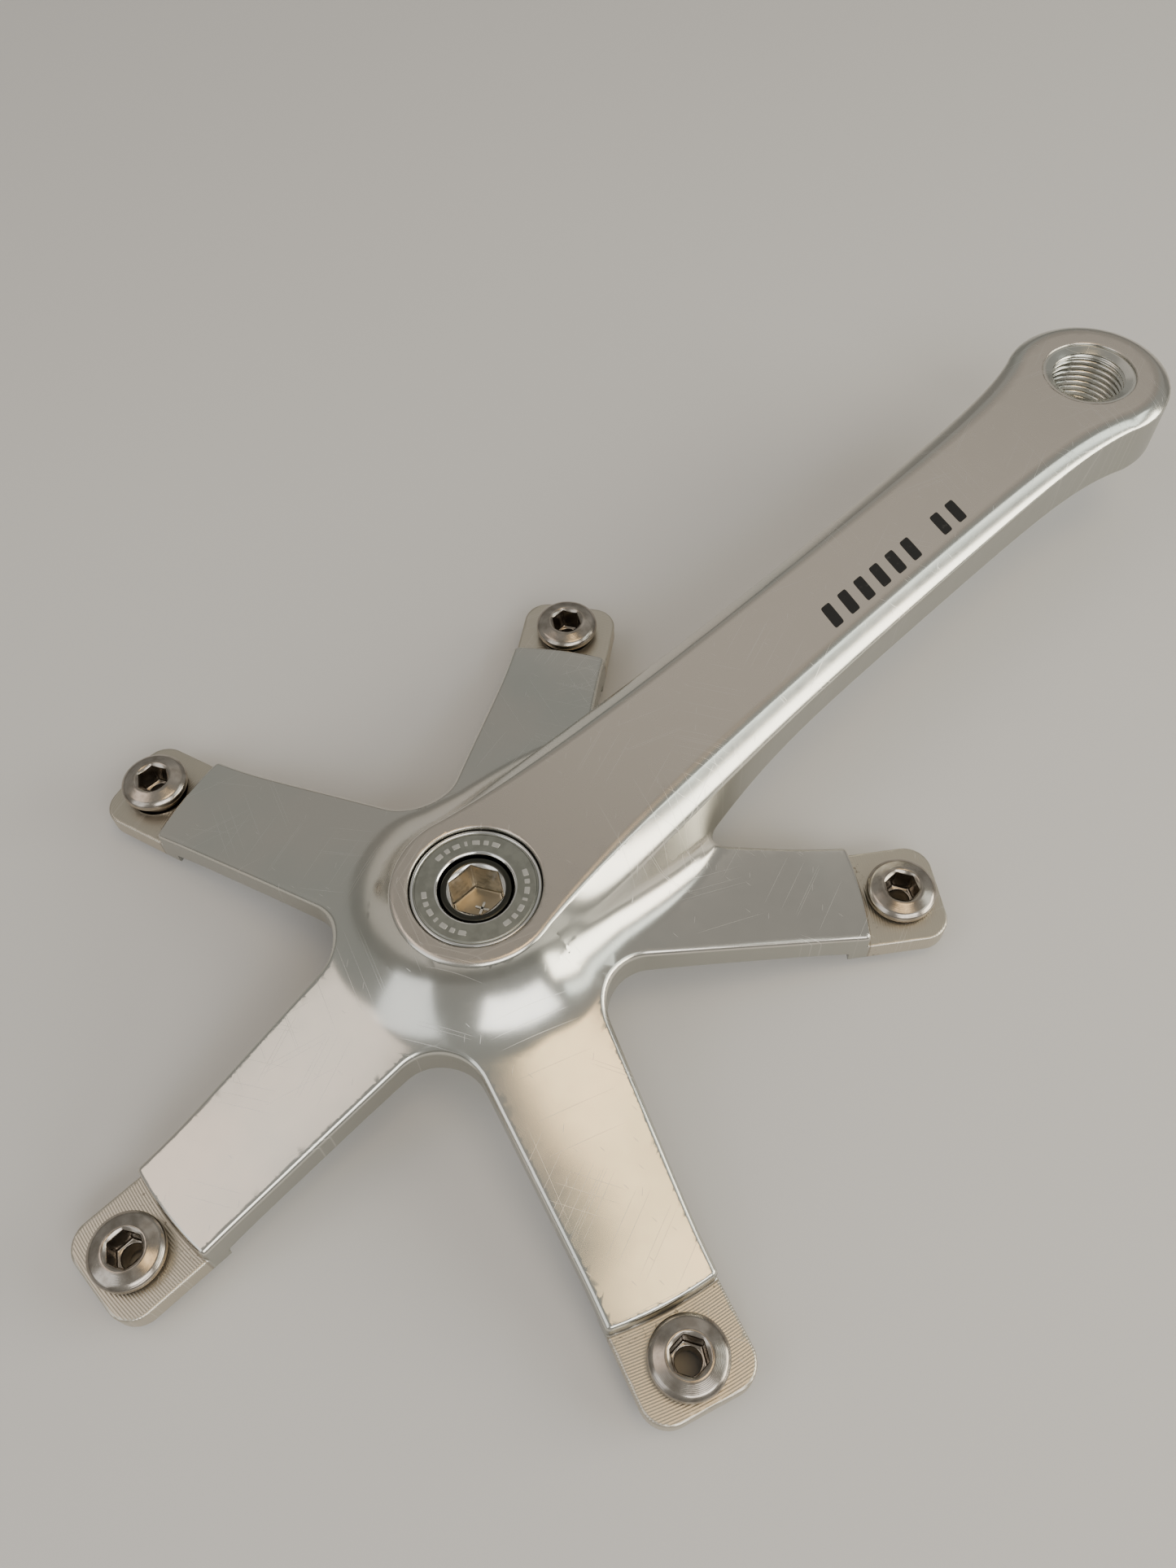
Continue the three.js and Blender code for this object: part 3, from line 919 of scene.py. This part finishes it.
@dataclass(frozen=True)
class SpiderForm:
    """Five arms with squared tabs, round webs between them and a step that seats the ring."""

    step_radius: float = 64.8
    tab_end: float = 79.0
    tab_front: float = 6.9
    tab_back: float = 2.9
    half_width: float = 9.15
    corner: float = 4.5
    widening: float = 0.0515
    straight_from: float = 58.0
    web_fillet: float = 8.3
    first_angle: float = TURN / 10
    tab_root: float = 61.6
    barrel: float = 15.0
    barrel_half: float = 9.0
    barrel_fillet: float = 2.5
    front: tuple[tuple[float, float], ...] = (
        (0, 26.6), (12, 23.6), (18, 22.0), (22, 20.95), (26, 19.8), (30, 18.7),
        (40, 16.0), (50, 13.3), (57, 11.6), (64.8, 10.1), (70, 9.2), (90, 5.8),
    )
    back: tuple[tuple[float, float], ...] = (
        (0, 14.9), (14, 14.8), (19, 14.4), (30, 12.4), (50, 7.4), (61.2, 4.6), (90, -2.0),
    )

    @property
    def web_centre(self) -> float:
        """Radius of the web circles' centres, so that they are tangent to the arms' edges."""
        lean, half = np.arctan(self.widening), TURN / 10
        edge = self.straight_from * np.sin(lean) + self.half_width * np.cos(lean)
        reach = self.web_fillet + edge
        return float(reach / (np.cos(half) * np.sin(lean) + np.sin(half) * np.cos(lean)))

    @staticmethod
    def profile(knots: Sequence[tuple[float, float]], r: Array) -> tuple[Array, Array]:
        """Height and slope along a curve through the knots, by cubic pieces.

        Each piece is the Hermite cubic whose end slopes are the means of the neighbouring
        chords' slopes.

        Args:
            knots: Pairs of radius and height.
            r: The radii wanted.

        Returns:
            The heights, and the slopes of height against radius.
        """
        at, height = np.array(knots, float).T
        chord = np.diff(height) / np.diff(at)
        slope = np.concatenate([chord[:1], (chord[1:] + chord[:-1]) / 2, chord[-1:]])
        i = np.clip(np.searchsorted(at, r) - 1, 0, len(at) - 2)
        span = at[i + 1] - at[i]
        t = np.clip((r - at[i]) / span, 0, 1)
        value = (
            (2 * t**3 - 3 * t**2 + 1) * height[i]
            + (t**3 - 2 * t**2 + t) * span * slope[i]
            + (3 * t**2 - 2 * t**3) * height[i + 1]
            + (t**3 - t**2) * span * slope[i + 1]
        )
        steep = (
            (6 * t**2 - 6 * t) * (height[i] - height[i + 1]) / span
            + (3 * t**2 - 4 * t + 1) * slope[i]
            + (3 * t**2 - 2 * t) * slope[i + 1]
        )
        return value, steep

    def outline(self, x: Array, y: Array) -> Array:
        """Signed distance in plan to the star, folded onto one half of one arm.

        Beyond the tangent point it is the distance to the arm's widening edge with a squared
        end of rounded corners, and hubward of it the distance to the web's circle.

        Args:
            x: Where, along the crank arm.
            y: Where, across the crank arm.

        Returns:
            The distances, negative inside.
        """
        pitch = TURN / 5
        r = np.hypot(x, y)
        fold = np.mod(np.arctan2(y, x) - self.first_angle + pitch / 2, pitch) - pitch / 2
        along, across = r * np.cos(fold), np.abs(r * np.sin(fold))
        gain = np.log1p(np.exp(np.clip((self.straight_from - along) / 2, -30, 30))) * 2
        slope = np.arctan(self.widening)
        edge = (across - self.half_width - self.widening * gain) * np.cos(slope)
        u, v = along - (self.tab_end - self.corner), edge + self.corner
        arm = np.hypot(np.maximum(u, 0), np.maximum(v, 0)) + np.minimum(np.maximum(u, v), 0)
        arm -= self.corner
        cx = self.web_centre * np.cos(pitch / 2)
        cy = self.web_centre * np.sin(pitch / 2)
        hubward = (along - cx) * np.cos(slope) - (across - cy) * np.sin(slope) < 0
        web = self.web_fillet - np.hypot(along - cx, across - cy)
        return np.where(hubward, web, arm)

    def distance(self, x: Array, y: Array, z: Array) -> Array:
        """Signed distance to the spider: the star between its front and back curves.

        Args:
            x: Where, along the crank arm.
            y: Where, across the crank arm.
            z: Where, in height.

        Returns:
            The distances, negative inside.
        """
        r = np.hypot(x, y)
        star = self.outline(x, y)
        front, front_slope = self.profile(self.front, r)
        back, back_slope = self.profile(self.back, r)
        over = (z - front) / np.sqrt(1 + front_slope**2)
        under = (back - z) / np.sqrt(1 + back_slope**2)
        arms = common(common(star, over, 1.05), r - self.step_radius, 0.6)
        arms = common(arms, under, 0.9)
        middle, half = (self.tab_front + self.tab_back) / 2, (self.tab_front - self.tab_back) / 2
        slab = common(star, np.abs(z - middle) - half, 0.45)
        slab = np.maximum(slab, self.tab_root - r)
        body = np.minimum(arms, slab)
        barrel = common(r - self.barrel, np.abs(z - self.barrel_half) - self.barrel_half, 0.8)
        return filleted(body, barrel, self.barrel_fillet)


@dataclass(frozen=True)
class Bores:
    """The holes in the forging."""

    taper_mouth: float = 14.0
    taper_seat: float = 12.7
    taper_depth: float = 18.0
    taper_corner: float = 0.8
    chamber: float = 10.2
    thread: float = 10.64
    thread_from: float = 24.1
    thread_rim: float = 0.4
    pedal: float = 7.6
    pedal_x: float = 165.0
    spot_face: float = 9.1
    pocket_depth: float = 3.0
    tab: float = 5.2
    tab_below: float = 12.0
    bolt_circle: float = 72.0

    def cut(self, body: Array, x: Array, y: Array, z: Array, top: float, rise: float) -> Array:
        """The body without its holes.

        Args:
            body: Signed distance to the uncut forging.
            x: Where, along the arm.
            y: Where, across the arm.
            z: Where, in height.
            top: Height of the outboard face at the spindle axis.
            rise: What it climbs per mm.

        Returns:
            Signed distance to the cut forging.
        """
        r = np.hypot(x, y)
        half = (self.taper_mouth - (self.taper_mouth - self.taper_seat) * z / self.taper_depth) / 2
        u, v = (np.abs(at) - half + self.taper_corner for at in (x, y))
        beyond = np.hypot(np.maximum(u, 0), np.maximum(v, 0))
        square = beyond + np.minimum(np.maximum(u, v), 0) - self.taper_corner
        body = common(body, -square, 0.3)
        chamber = np.maximum(r - self.chamber, self.taper_depth - z)
        body = common(body, -chamber, 0.15)
        threaded = np.maximum(r - self.thread, self.thread_from - z)
        body = common(body, -threaded, self.thread_rim)
        px = np.hypot(x - self.pedal_x, y)
        body = common(body, self.pedal - px, 0.4)
        pocket = np.maximum(px - self.spot_face, top + rise * self.pedal_x - self.pocket_depth - z)
        body = common(body, -pocket, 0.28)
        pitch = TURN / 5
        fold = np.mod(np.arctan2(y, x), pitch) - pitch / 2
        tab = np.hypot(r * np.cos(fold) - self.bolt_circle, r * np.sin(fold)) - self.tab
        far = 5.0
        return common(body, -np.where(z < self.tab_below, tab, far), 0.3)


@dataclass
class Forging:
    """Boss, spider and crank arm as one smooth body."""

    arm: ArmForm = field(default_factory=ArmForm)
    spider: SpiderForm = field(default_factory=SpiderForm)
    bores: Bores = field(default_factory=Bores)
    fillet: float = 3.5
    boss_fillet: float = 6.5
    pitch: tuple[float, float, float] = (1.3, 1.3, 1.0)
    quick_pitch: tuple[float, float, float] = (1.6, 1.6, 1.1)
    rounds: int = 2

    def distance(self, points: Array) -> Array:
        """Signed distance to the forging: arm and spider with a fillet between, less its holes."""
        x, y, z = points.T
        arm = self.arm.distance(x, y, z)
        spider = self.spider.distance(x, y, z)
        starts, length = 14.0, 16.0
        away = np.clip((starts - x) / length, 0, 1)
        radius = self.fillet + (self.boss_fillet - self.fillet) * away * away * (3 - 2 * away)
        body = filleted(arm, spider, radius)
        return self.bores.cut(body, x, y, z, self.arm.top, self.arm.rise)

    def skin(self) -> Skin:
        pitch = np.array(self.pitch)
        low, high = np.array([-80.1, -78.1, -0.7]), np.array([182.3, 78.1, 34.4])
        return contoured(self.distance, low, high, pitch, self.rounds)

    def build(self) -> None:
        """Makes the forging's piece and its pedal thread."""
        material = ForgedAluminium().material(self.arm)
        slot = "polished_forging"
        Piece("forged_crank", self.skin(), material, "crank", slot, ("crank_arm",)).make()
        Piece("pedal_thread", self.pedal_thread(), material, "crank", slot).make()

    def pedal_thread(self) -> Skin:
        """The pedal eye's spot face, countersink and thread: one section turned round its axis."""
        thread, wall, spot_depth, sink = Thread(1.27, 0.6), 7.18, 0.3, 0.6
        top = self.arm.top + self.arm.rise * self.bores.pedal_x - spot_depth
        start = self.arm.bottom + self.arm.bottom_rise * self.bores.pedal_x + 0.35
        height = np.linspace(top - sink, start, 220)
        runout = np.clip(np.minimum(height - start, top - sink - height) / 0.8, 0, 1)
        inner = np.stack([wall + 0 * height, height, 0 * height, 0 * height, -runout], axis=1)
        hidden = 0.2
        outside, below = self.bores.pedal + hidden, top - 2.2
        flange = self.bores.spot_face + hidden
        rest = softened(
            rows(
                (wall, start - 0.05),
                (outside, start - 0.05),
                (outside, below),
                (flange, below),
                (flange, top),
                (wall + 2.4 * sink, top),
                (wall, top - sink + 0.05),
            ),
            0.12,
            3,
        )
        ring = turned(np.vstack([inner, rest[3:-3]]), 120, thread)
        return ring.moved(self.bores.pedal_x, 0, 0)


# ---- pieces ------------------------------------------------------------------------------


@dataclass
class Piece:
    """A finished mesh object and what it stands for."""

    name: str
    skin: Skin
    material: Any
    body: str
    slot: str
    nodes: tuple[str, ...] = ()

    def make(self) -> Any:
        """Returns:
            The Blender object.
        """
        points, faces, kept, normals = self.skin.welded()
        sizes = kept.sum(axis=1)
        mesh = bpy.data.meshes.new(self.name)
        mesh.vertices.add(len(points))
        mesh.vertices.foreach_set("co", (points * MM).astype(np.float32).ravel())
        mesh.loops.add(int(sizes.sum()))
        mesh.loops.foreach_set("vertex_index", faces[kept].astype(np.int32))
        mesh.polygons.add(len(faces))
        starts = np.concatenate([[0], np.cumsum(sizes)[:-1]])
        mesh.polygons.foreach_set("loop_start", starts.astype(np.int32))
        mesh.update(calc_edges=True)
        mesh.polygons.foreach_set("use_smooth", np.ones(len(faces), bool))
        if normals is None:
            normals = self.weighted(points, faces, kept)
        mesh.normals_split_custom_set_from_vertices(normals.tolist())
        mesh.materials.append(self.material)
        made = bpy.data.objects.new(self.name, mesh)
        bpy.context.scene.collection.objects.link(made)
        if self.nodes:
            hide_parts(*self.nodes)
        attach(made, self.body)
        LOG.info("%s: %d faces on body %s", self.name, len(faces), self.body)
        return made

    @staticmethod
    def weighted(points: Array, faces: Array, kept: Array) -> Array:
        """Normals at the points, each the sum of its faces' normals times their areas."""
        a, b, c, d = (points[faces[:, i]] for i in range(4))
        area = np.cross(c - a, d - b)
        total = np.zeros_like(points)
        for i in range(3):
            weights = np.repeat(area[:, i], 4)[kept.ravel()]
            total[:, i] = np.bincount(faces[kept], weights=weights, minlength=len(points))
        return total / np.maximum(np.linalg.norm(total, axis=1, keepdims=True), 1e-12)


@dataclass
class ReleaseSet:
    """Seat washer, crank bolt, slip washer and threaded cap in the boss."""

    washer_z: float = 18.3
    slip_z: float = 22.6
    flange_z: float = 19.8
    flange_top: float = 22.3
    head: float = 5.7
    head_top: float = 28.7
    socket: float = 4.0
    socket_depth: float = 7.5
    shank: float = 3.9
    tip: float = 4.5
    cap: float = 10.5
    cap_inner: float = 6.05
    cap_top: float = 29.3
    cap_bottom: float = 24.5

    def seat_washer(self) -> Skin:
        """A flat ring with softened edges under the bolt's flange."""
        z = self.washer_z
        return turned(softened(rows((4.4, z), (9.6, z), (9.6, z + 1.2), (4.4, z + 1.2)), 0.25))

    def slip_washer(self) -> Skin:
        """A flat ring of nylon between the bolt's flange and the cap."""
        z = self.slip_z
        return turned(softened(rows((6.1, z), (9.8, z), (9.8, z + 0.8), (6.1, z + 0.8)), 0.2))

    def bolt(self) -> Skin:
        """The crank bolt: threaded shank, flange, head, and a socket with a scalloped rim."""
        floor = self.head_top - self.socket_depth
        rim = self.head_top - 0.55
        end = rows((0, self.tip), (3.1, self.tip), (self.shank, self.tip + 0.9))
        tip = softened(end, 0.2, closed=False)
        heights = np.linspace(self.tip + 1.0, self.flange_z - 0.3, 120)
        shank = rows(*[(self.shank, z, 0, 0, 1) for z in heights])
        head = softened(
            rows(
                (self.shank, self.flange_z - 0.2),
                (self.shank, self.flange_z),
                (9.0, self.flange_z),
                (9.0, self.flange_top),
                (self.head, self.flange_top),
                (self.head, self.head_top),
                (4.75, self.head_top),
                (self.socket, rim, 1, 0.65),
                (self.socket, floor, 1),
                (2.9, floor - 0.05),
                (0, floor - 0.35),
            ),
            0.35,
            5,
            closed=False,
        )
        return turned(np.vstack([tip, shank, head]), 144, Thread(1.0, 0.45), close=False)

    def socket_mark(self) -> Skin:
        """A small raised cross on the socket's floor, two crossed bars with rounded ends."""
        floor = self.head_top - self.socket_depth
        turns = (0.5, 0.5 + TURN / 4)
        return joined([slat(0.6, 0.3, 2.4, 0.42, floor - 0.36, 0.3, turn) for turn in turns])

    def cap_ring(self) -> Skin:
        """The cap: bright outer chamfer, a shallow groove, satin face and a bright inner bevel."""
        top = self.cap_top
        return turned(
            softened(
                rows(
                    (self.cap_inner, self.cap_bottom),
                    (self.cap, self.cap_bottom),
                    (self.cap, top - 0.25),
                    (self.cap - 0.22, top),
                    (9.98, top),
                    (9.86, top - 0.2),
                    (9.68, top - 0.2),
                    (9.56, top - 0.03),
                    (6.55, top - 0.03),
                    (6.4, top),
                    (self.cap_inner + 0.06, top - 0.3),
                ),
                0.12,
            ),
            144,
        )

    def cap_marks(self) -> Skin:
        """Three runs of short curved dashes on the cap's face, evenly spaced."""
        skins = []
        for run in range(3):
            for dash, span in enumerate((0.15, 0.10, 0.15, 0.06, 0.15, 0.10, 0.15)):
                angle = TURN * (run + 0.5) / 3 + (dash - 3) * 0.2
                skins.append(arc_mark(8.15, 0.85, angle, span, self.cap_top - 0.06, 0.05))
        return joined(skins)

    def build(self) -> None:
        """Makes the set's pieces."""
        steel = TurnedMetal("bright_steel", (0.83, 0.81, 0.78), (0.62, 0.58, 0.53), 0.1).material()
        cap = CapFinish().material()
        nylon = DullPlastic().material()
        light = MarkingInk(
            "engraved_marks", (0.62, 0.61, 0.57), (0.48, 0.48, 0.45), 0.35, 0.9
        ).material()
        chrome = CrankBoltFinish().material()
        bright, satin, black = "bright_steel", "satin_cap", "black_nylon"
        washer, bolt = "crank_bolt_washer", "crank_bolt"
        slip, ring = "cap_slip_washer", "extractor_cap"
        for piece in (
            Piece("seat_washer", self.seat_washer(), steel, "crank", bright, (washer,)),
            Piece("crank_bolt_body", self.bolt(), chrome, "crank_bolt", bright, (bolt,)),
            Piece("socket_cross", self.socket_mark(), light, "crank_bolt", bright),
            Piece("slip_ring", self.slip_washer(), nylon, "slip_washer", black, (slip,)),
            Piece("threaded_cap", self.cap_ring(), cap, "crank", satin, (ring,)),
            Piece("cap_dashes", self.cap_marks(), light, "crank", satin),
        ):
            piece.make()


def slat(
    x: float,
    y: float,
    length: float,
    width: float,
    z: float,
    thickness: float,
    turn: float = 0.0,
    lean: float = 0.0,
    rise: float = 0.0,
) -> Skin:
    """A thin bar with rounded corners: |u/a|^8 + |v/b|^8 = 1 drawn up through its thickness.

    Args:
        x: Its middle, along the arm.
        y: Its middle, across the arm.
        length: Its length along u.
        width: Its width along v.
        z: Height of its underside at x = 0.
        thickness: How thick it is.
        turn: The angle of u from +X, in radians.
        lean: How far u leans per mm of v.
        rise: What the face under it climbs per mm of x.

    Returns:
        The surface.
    """
    angle = (np.arange(32)[None, :] + 0.5) * TURN / 32
    share = np.array([0.0, 1.0, 1.0, 0.94, 0.0])[:, None]
    level = np.array([0.0, 0.0, 0.7, 1.0, 1.0])[:, None] * thickness
    c, s = np.cos(angle), np.sin(angle)
    u = share * np.sign(c) * np.abs(c) ** 0.25 * length / 2
    v = share * np.sign(s) * np.abs(s) ** 0.25 * width / 2
    u = u + lean * v
    px = x + u * np.cos(turn) - v * np.sin(turn)
    py = y + u * np.sin(turn) + v * np.cos(turn)
    return grid_skin(np.stack([px, py, z + level + rise * px], axis=-1), False)


def arc_mark(
    radius: float, width: float, angle: float, span: float, z: float, thickness: float
) -> Skin:
    """A thin curved dash: the bar of slat with u wrapped round the axis at a radius.

    Args:
        radius: Of the dash's middle line.
        width: Across the dash, in mm.
        angle: Where its middle stands, in radians.
        span: Its length, in radians.
        z: Height of its underside.
        thickness: How thick it is.

    Returns:
        The surface.
    """
    flat = slat(0, 0, span, width, z, thickness)
    a, r = angle - flat.points[:, 0], radius + flat.points[:, 1]
    points = np.stack([r * np.cos(a), r * np.sin(a), flat.points[:, 2]], axis=1)
    return Skin(points, flat.faces[:, ::-1])


@dataclass
class ArmMarks:
    """A generic row of leaning black bars printed on the outboard face."""

    start: float = 80.5
    pitch: float = 4.4
    y: float = -4.2
    width: float = 2.3
    height: float = 4.9
    lean: float = 0.3
    arm: ArmForm = field(default_factory=ArmForm)

    def skin(self) -> Skin:
        """Six bars, a gap and two more."""
        places = [0, 1, 2, 3, 4, 5, 7, 8]
        return joined(
            [
                slat(
                    self.start + self.pitch * i, self.y, self.width, self.height,
                    self.arm.top, 0.02, 0.0, self.lean, self.arm.rise,
                )
                for i in places
            ]
        )

    def build(self) -> None:
        """Makes the marks' piece."""
        ink = MarkingInk(
            "black_print", (0.004, 0.004, 0.004), (0.02, 0.019, 0.018), 0.6, 0.0
        ).material()
        Piece("arm_bars", self.skin(), ink, "crank", "polished_forging").make()


@dataclass
class ChainringFasteners:
    """The five loose pairs of chainring bolt and slotted sleeve nut in the tabs."""

    stand_off: tuple[float, ...] = (1.2, 1.9, 0.9, 0.8, 0.6)
    circle: float = 72.0
    tab_front: float = 6.9
    below_head: float = 7.4
    thread: Thread = Thread(0.75, 0.32)

    def centres(self) -> list[tuple[float, float]]:
        """Where the five pairs stand."""
        angles = TURN / 10 + np.arange(5) * TURN / 5
        return [(float(self.circle * np.cos(a)), float(self.circle * np.sin(a))) for a in angles]

    def bolt(self) -> Skin:
        """A hollow bolt with a coned head and a hexagon socket, the head's underside at z = 0."""
        shank = rows(*[(3.75, z, 0, 0, 1) for z in np.linspace(-6.1, -0.5, 64)])
        head = softened(
            rows(
                (3.72, -0.3),
                (3.72, 0.0),
                (5.75, 0.0),
                (6.0, 0.3),
                (6.0, 1.35),
                (5.3, 1.95),
                (3.6, 2.55),
                (3.2, 2.6),
                (2.5, 2.05, 1, 0.75),
                (2.5, -2.4, 1),
                (2.05, -2.5),
                (2.0, -2.8),
                (2.0, -6.2),
                (2.3, -6.6),
                (3.3, -6.6),
                (3.72, -6.2),
            ),
            0.28,
            5,
            closed=False,
        )
        return turned(np.vstack([shank, head]), 96, self.thread)

    def nut(self) -> Skin:
        """A sleeve nut with the underside of its flange at z = 0 and a slot across it.

        Round each row the angle is stretched so that two grid lines follow each side of the
        slot, half a slot's width off the middle: sin a = w / (2 r). The underside is raised by
        the slot's depth between them.
        """
        section = softened(
            rows(
                (4.05, 0.0, 0, 0, 1),
                (6.0, 0.0, 0, 0, 1),
                (6.3, 0.3, 0, 0, 0.6),
                (6.3, 1.2),
                (4.9, 1.2),
                (4.9, 6.9),
                (4.7, 7.1),
                (4.05, 7.1),
                (4.05, 0.7),
            ),
            0.18,
        )
        r, z, slot = section[:, 0:1], section[:, 1:2], section[:, 4:5]
        half_slot, slot_depth, fades_by = 1.0, 0.7, 1.4
        near, past, gap = 0.18, 0.22, 0.01
        half_turn = np.concatenate(
            [np.linspace(-1, -past, 16), np.linspace(-near, near, 6), np.linspace(past, 1, 17)[:-1]]
        )[None, :]
        size, side = np.abs(half_turn), np.sign(half_turn)
        edge = np.arcsin(half_slot / r) / (TURN / 4)
        inner = size <= (near + past) / 2
        out = edge + gap + (size - past) * (1 - gap - edge) / (1 - past)
        stretched = side * np.where(inner, size * edge / near, out)
        angle = np.concatenate([stretched, stretched + 2], axis=1) * TURN / 4
        raised = np.tile(inner, (1, 2)) * slot_depth * slot * np.clip(fades_by - z, 0, 1)
        points = np.stack([r * np.cos(angle), r * np.sin(angle), z + raised + 0 * angle], axis=-1)
        return grid_skin(points, True)

    def build(self) -> None:
        """Makes a bolt and a nut for each tab."""
        nickel = TurnedMetal(
            "nickel_steel", (0.42, 0.38, 0.335), (0.30, 0.265, 0.225), 0.2, tuple(self.centres())
        ).material()
        bolt, nut = self.bolt(), self.nut()
        for i, ((x, y), lift) in enumerate(zip(self.centres(), self.stand_off), 1):
            z = self.tab_front + lift
            for kind, skin, height in (("bolt", bolt, z), ("nut", nut, z - self.below_head)):
                body, placed = f"chainring_{kind}_{i}", skin.moved(x, y, height)
                Piece(f"ring_{kind}_{i}", placed, nickel, body, "nickel_steel", (body,)).make()


# ---- studio ------------------------------------------------------------------------------


class Glow(Enum):
    """Colours of the studio's lights and of its world."""

    CREAM = (1.0, 0.95, 0.82)
    MINT = (0.93, 1.0, 0.95)
    WARM = (1.0, 0.94, 0.86)
    PEACH = (1.0, 0.84, 0.73)
    GOLD = (1.0, 0.72, 0.38)
    PLAIN = (1.0, 0.98, 0.95)
    COOL = (0.96, 0.98, 1.0)
    WORLD = (0.37, 0.367, 0.345)


@dataclass(frozen=True)
class SoftBox:
    """A rectangular soft light that looks at the crank."""

    name: str
    direction: tuple[float, float, float]
    distance: float
    size: tuple[float, float]
    watts: float
    glow: "Glow"

    def place(self, target: Vector) -> None:
        """Hangs the light along its direction from the target and turns it to face it.

        Args:
            target: What the light looks at, in metres.
        """
        light = bpy.data.lights.new(self.name, "AREA")
        light.shape = "RECTANGLE"
        light.size, light.size_y = self.size
        light.energy = self.watts
        light.color = self.glow.value
        made = bpy.data.objects.new(self.name, light)
        bpy.context.scene.collection.objects.link(made)
        towards = Vector(self.direction).normalized()
        made.location = target + towards * self.distance
        made.rotation_euler = towards.to_track_quat("Z", "Y").to_euler()


@dataclass
class Studio:
    """Floor, lights and camera."""

    camera_at: tuple[float, float, float] = (-50.26, -85.29, 203.04)
    looks_at: tuple[float, float, float] = (34.36, 11.17, 10.0)
    roll_degrees: float = -3.05
    focal: float = 29.08
    frame_height: float = 36.0
    world: Glow = Glow.WORLD
    floor_flat: float = 1.2
    floor_end: float = 4.0
    target: tuple[float, float, float] = (0.05, 0.0, 0.01)

    def floor(self, lowest: float) -> None:
        """A wide flat floor under the part, with a shallow dished rim far out.

        Args:
            lowest: The part's lowest height, in metres.
        """
        flat, sag, clearance = self.floor_flat, 0.12, 0.00005
        rim = np.linspace(flat + 0.3, self.floor_end, 8)
        radius = np.concatenate([np.linspace(0, flat, 13), rim])[:, None]
        angle = np.arange(64)[None, :] * TURN / 64
        height = np.where(radius > flat, (radius - flat) ** 2 * sag, 0.0) + 0 * angle
        points = np.stack([radius * np.cos(angle), radius * np.sin(angle), height], axis=-1)
        skin = grid_skin(points[::-1], False)
        mesh = bpy.data.meshes.new("floor")
        placed = skin.points + [0, 0, lowest - clearance]
        mesh.from_pydata(placed.tolist(), [], skin.faces.tolist())
        mesh.polygons.foreach_set("use_smooth", np.ones(len(skin.faces), bool))
        mesh.materials.append(StudioFloor().material())
        made = bpy.data.objects.new("floor", mesh)
        bpy.context.scene.collection.objects.link(made)
        made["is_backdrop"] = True

    def lights(self) -> None:
        """Soft boxes round the part, and an even world."""
        world = bpy.data.worlds.new("studio")
        world.use_nodes = True
        background = world.node_tree.nodes["Background"]
        background.inputs["Color"].default_value = (*self.world.value, 1.0)
        background.inputs["Strength"].default_value = 1.0
        bpy.context.scene.world = world
        target = Vector(self.target)
        for box in (
            SoftBox("shoulder_box", (0.56, -0.72, 0.34), 0.9, (0.7, 0.30), 4.6, Glow.CREAM),
            SoftBox("shoulder_strip", (0.54, -0.56, 0.68), 0.9, (0.6, 0.13), 0.62, Glow.MINT),
            SoftBox("arm_box", (0.55, 0.36, 0.76), 1.2, (0.8, 0.6), 0.4, Glow.WARM),
            SoftBox("left_arm_box", (-0.42, 0.41, 0.81), 1.0, (0.42, 0.42), 0.8, Glow.PEACH),
            SoftBox("lower_arm_box", (0.07, -0.22, 0.97), 1.0, (0.34, 0.36), 1.35, Glow.GOLD),
            SoftBox("front_box", (-0.35, -0.9, 0.8), 1.2, (0.9, 0.5), 6.0, Glow.PLAIN),
            SoftBox("left_box", (-0.95, 0.15, 0.6), 1.0, (0.5, 0.7), 1.5, Glow.COOL),
        ):
            box.place(target)

    def camera(self) -> None:
        """The camera, rolled about its line of sight, as tall a frame as the lens says."""
        data = bpy.data.cameras.new("camera")
        data.sensor_fit = "VERTICAL"
        data.sensor_height = self.frame_height
        data.lens = self.focal
        data.clip_start, data.clip_end = 0.005, 20.0
        made = bpy.data.objects.new("camera", data)
        bpy.context.scene.collection.objects.link(made)
        at, aim = Vector(self.camera_at) * MM, Vector(self.looks_at) * MM
        level = (aim - at).to_track_quat("-Z", "Y").to_matrix().to_4x4()
        roll = Matrix.Rotation(np.radians(self.roll_degrees), 4, "Z")
        made.matrix_world = Matrix.Translation(at) @ level @ roll
        bpy.context.scene.camera = made

    def build(self, lowest: float) -> None:
        """Sets up floor, lights and camera round a part with that lowest height."""
        self.floor(lowest)
        self.lights()
        self.camera()


def plain_bounds() -> list[list[float]]:
    """The object's box as plain lists."""
    return [[float(v) for v in corner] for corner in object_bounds()]


def main() -> None:
    """Builds the crankset round its frame."""
    logging.basicConfig(level=logging.INFO, format="%(name)s %(message)s")
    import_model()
    cad = plain_bounds()
    Forging().build()
    ReleaseSet().build()
    ArmMarks().build()
    ChainringFasteners().build()
    Studio().build(cad[0][2])


if __name__ == "__main__":
    main()
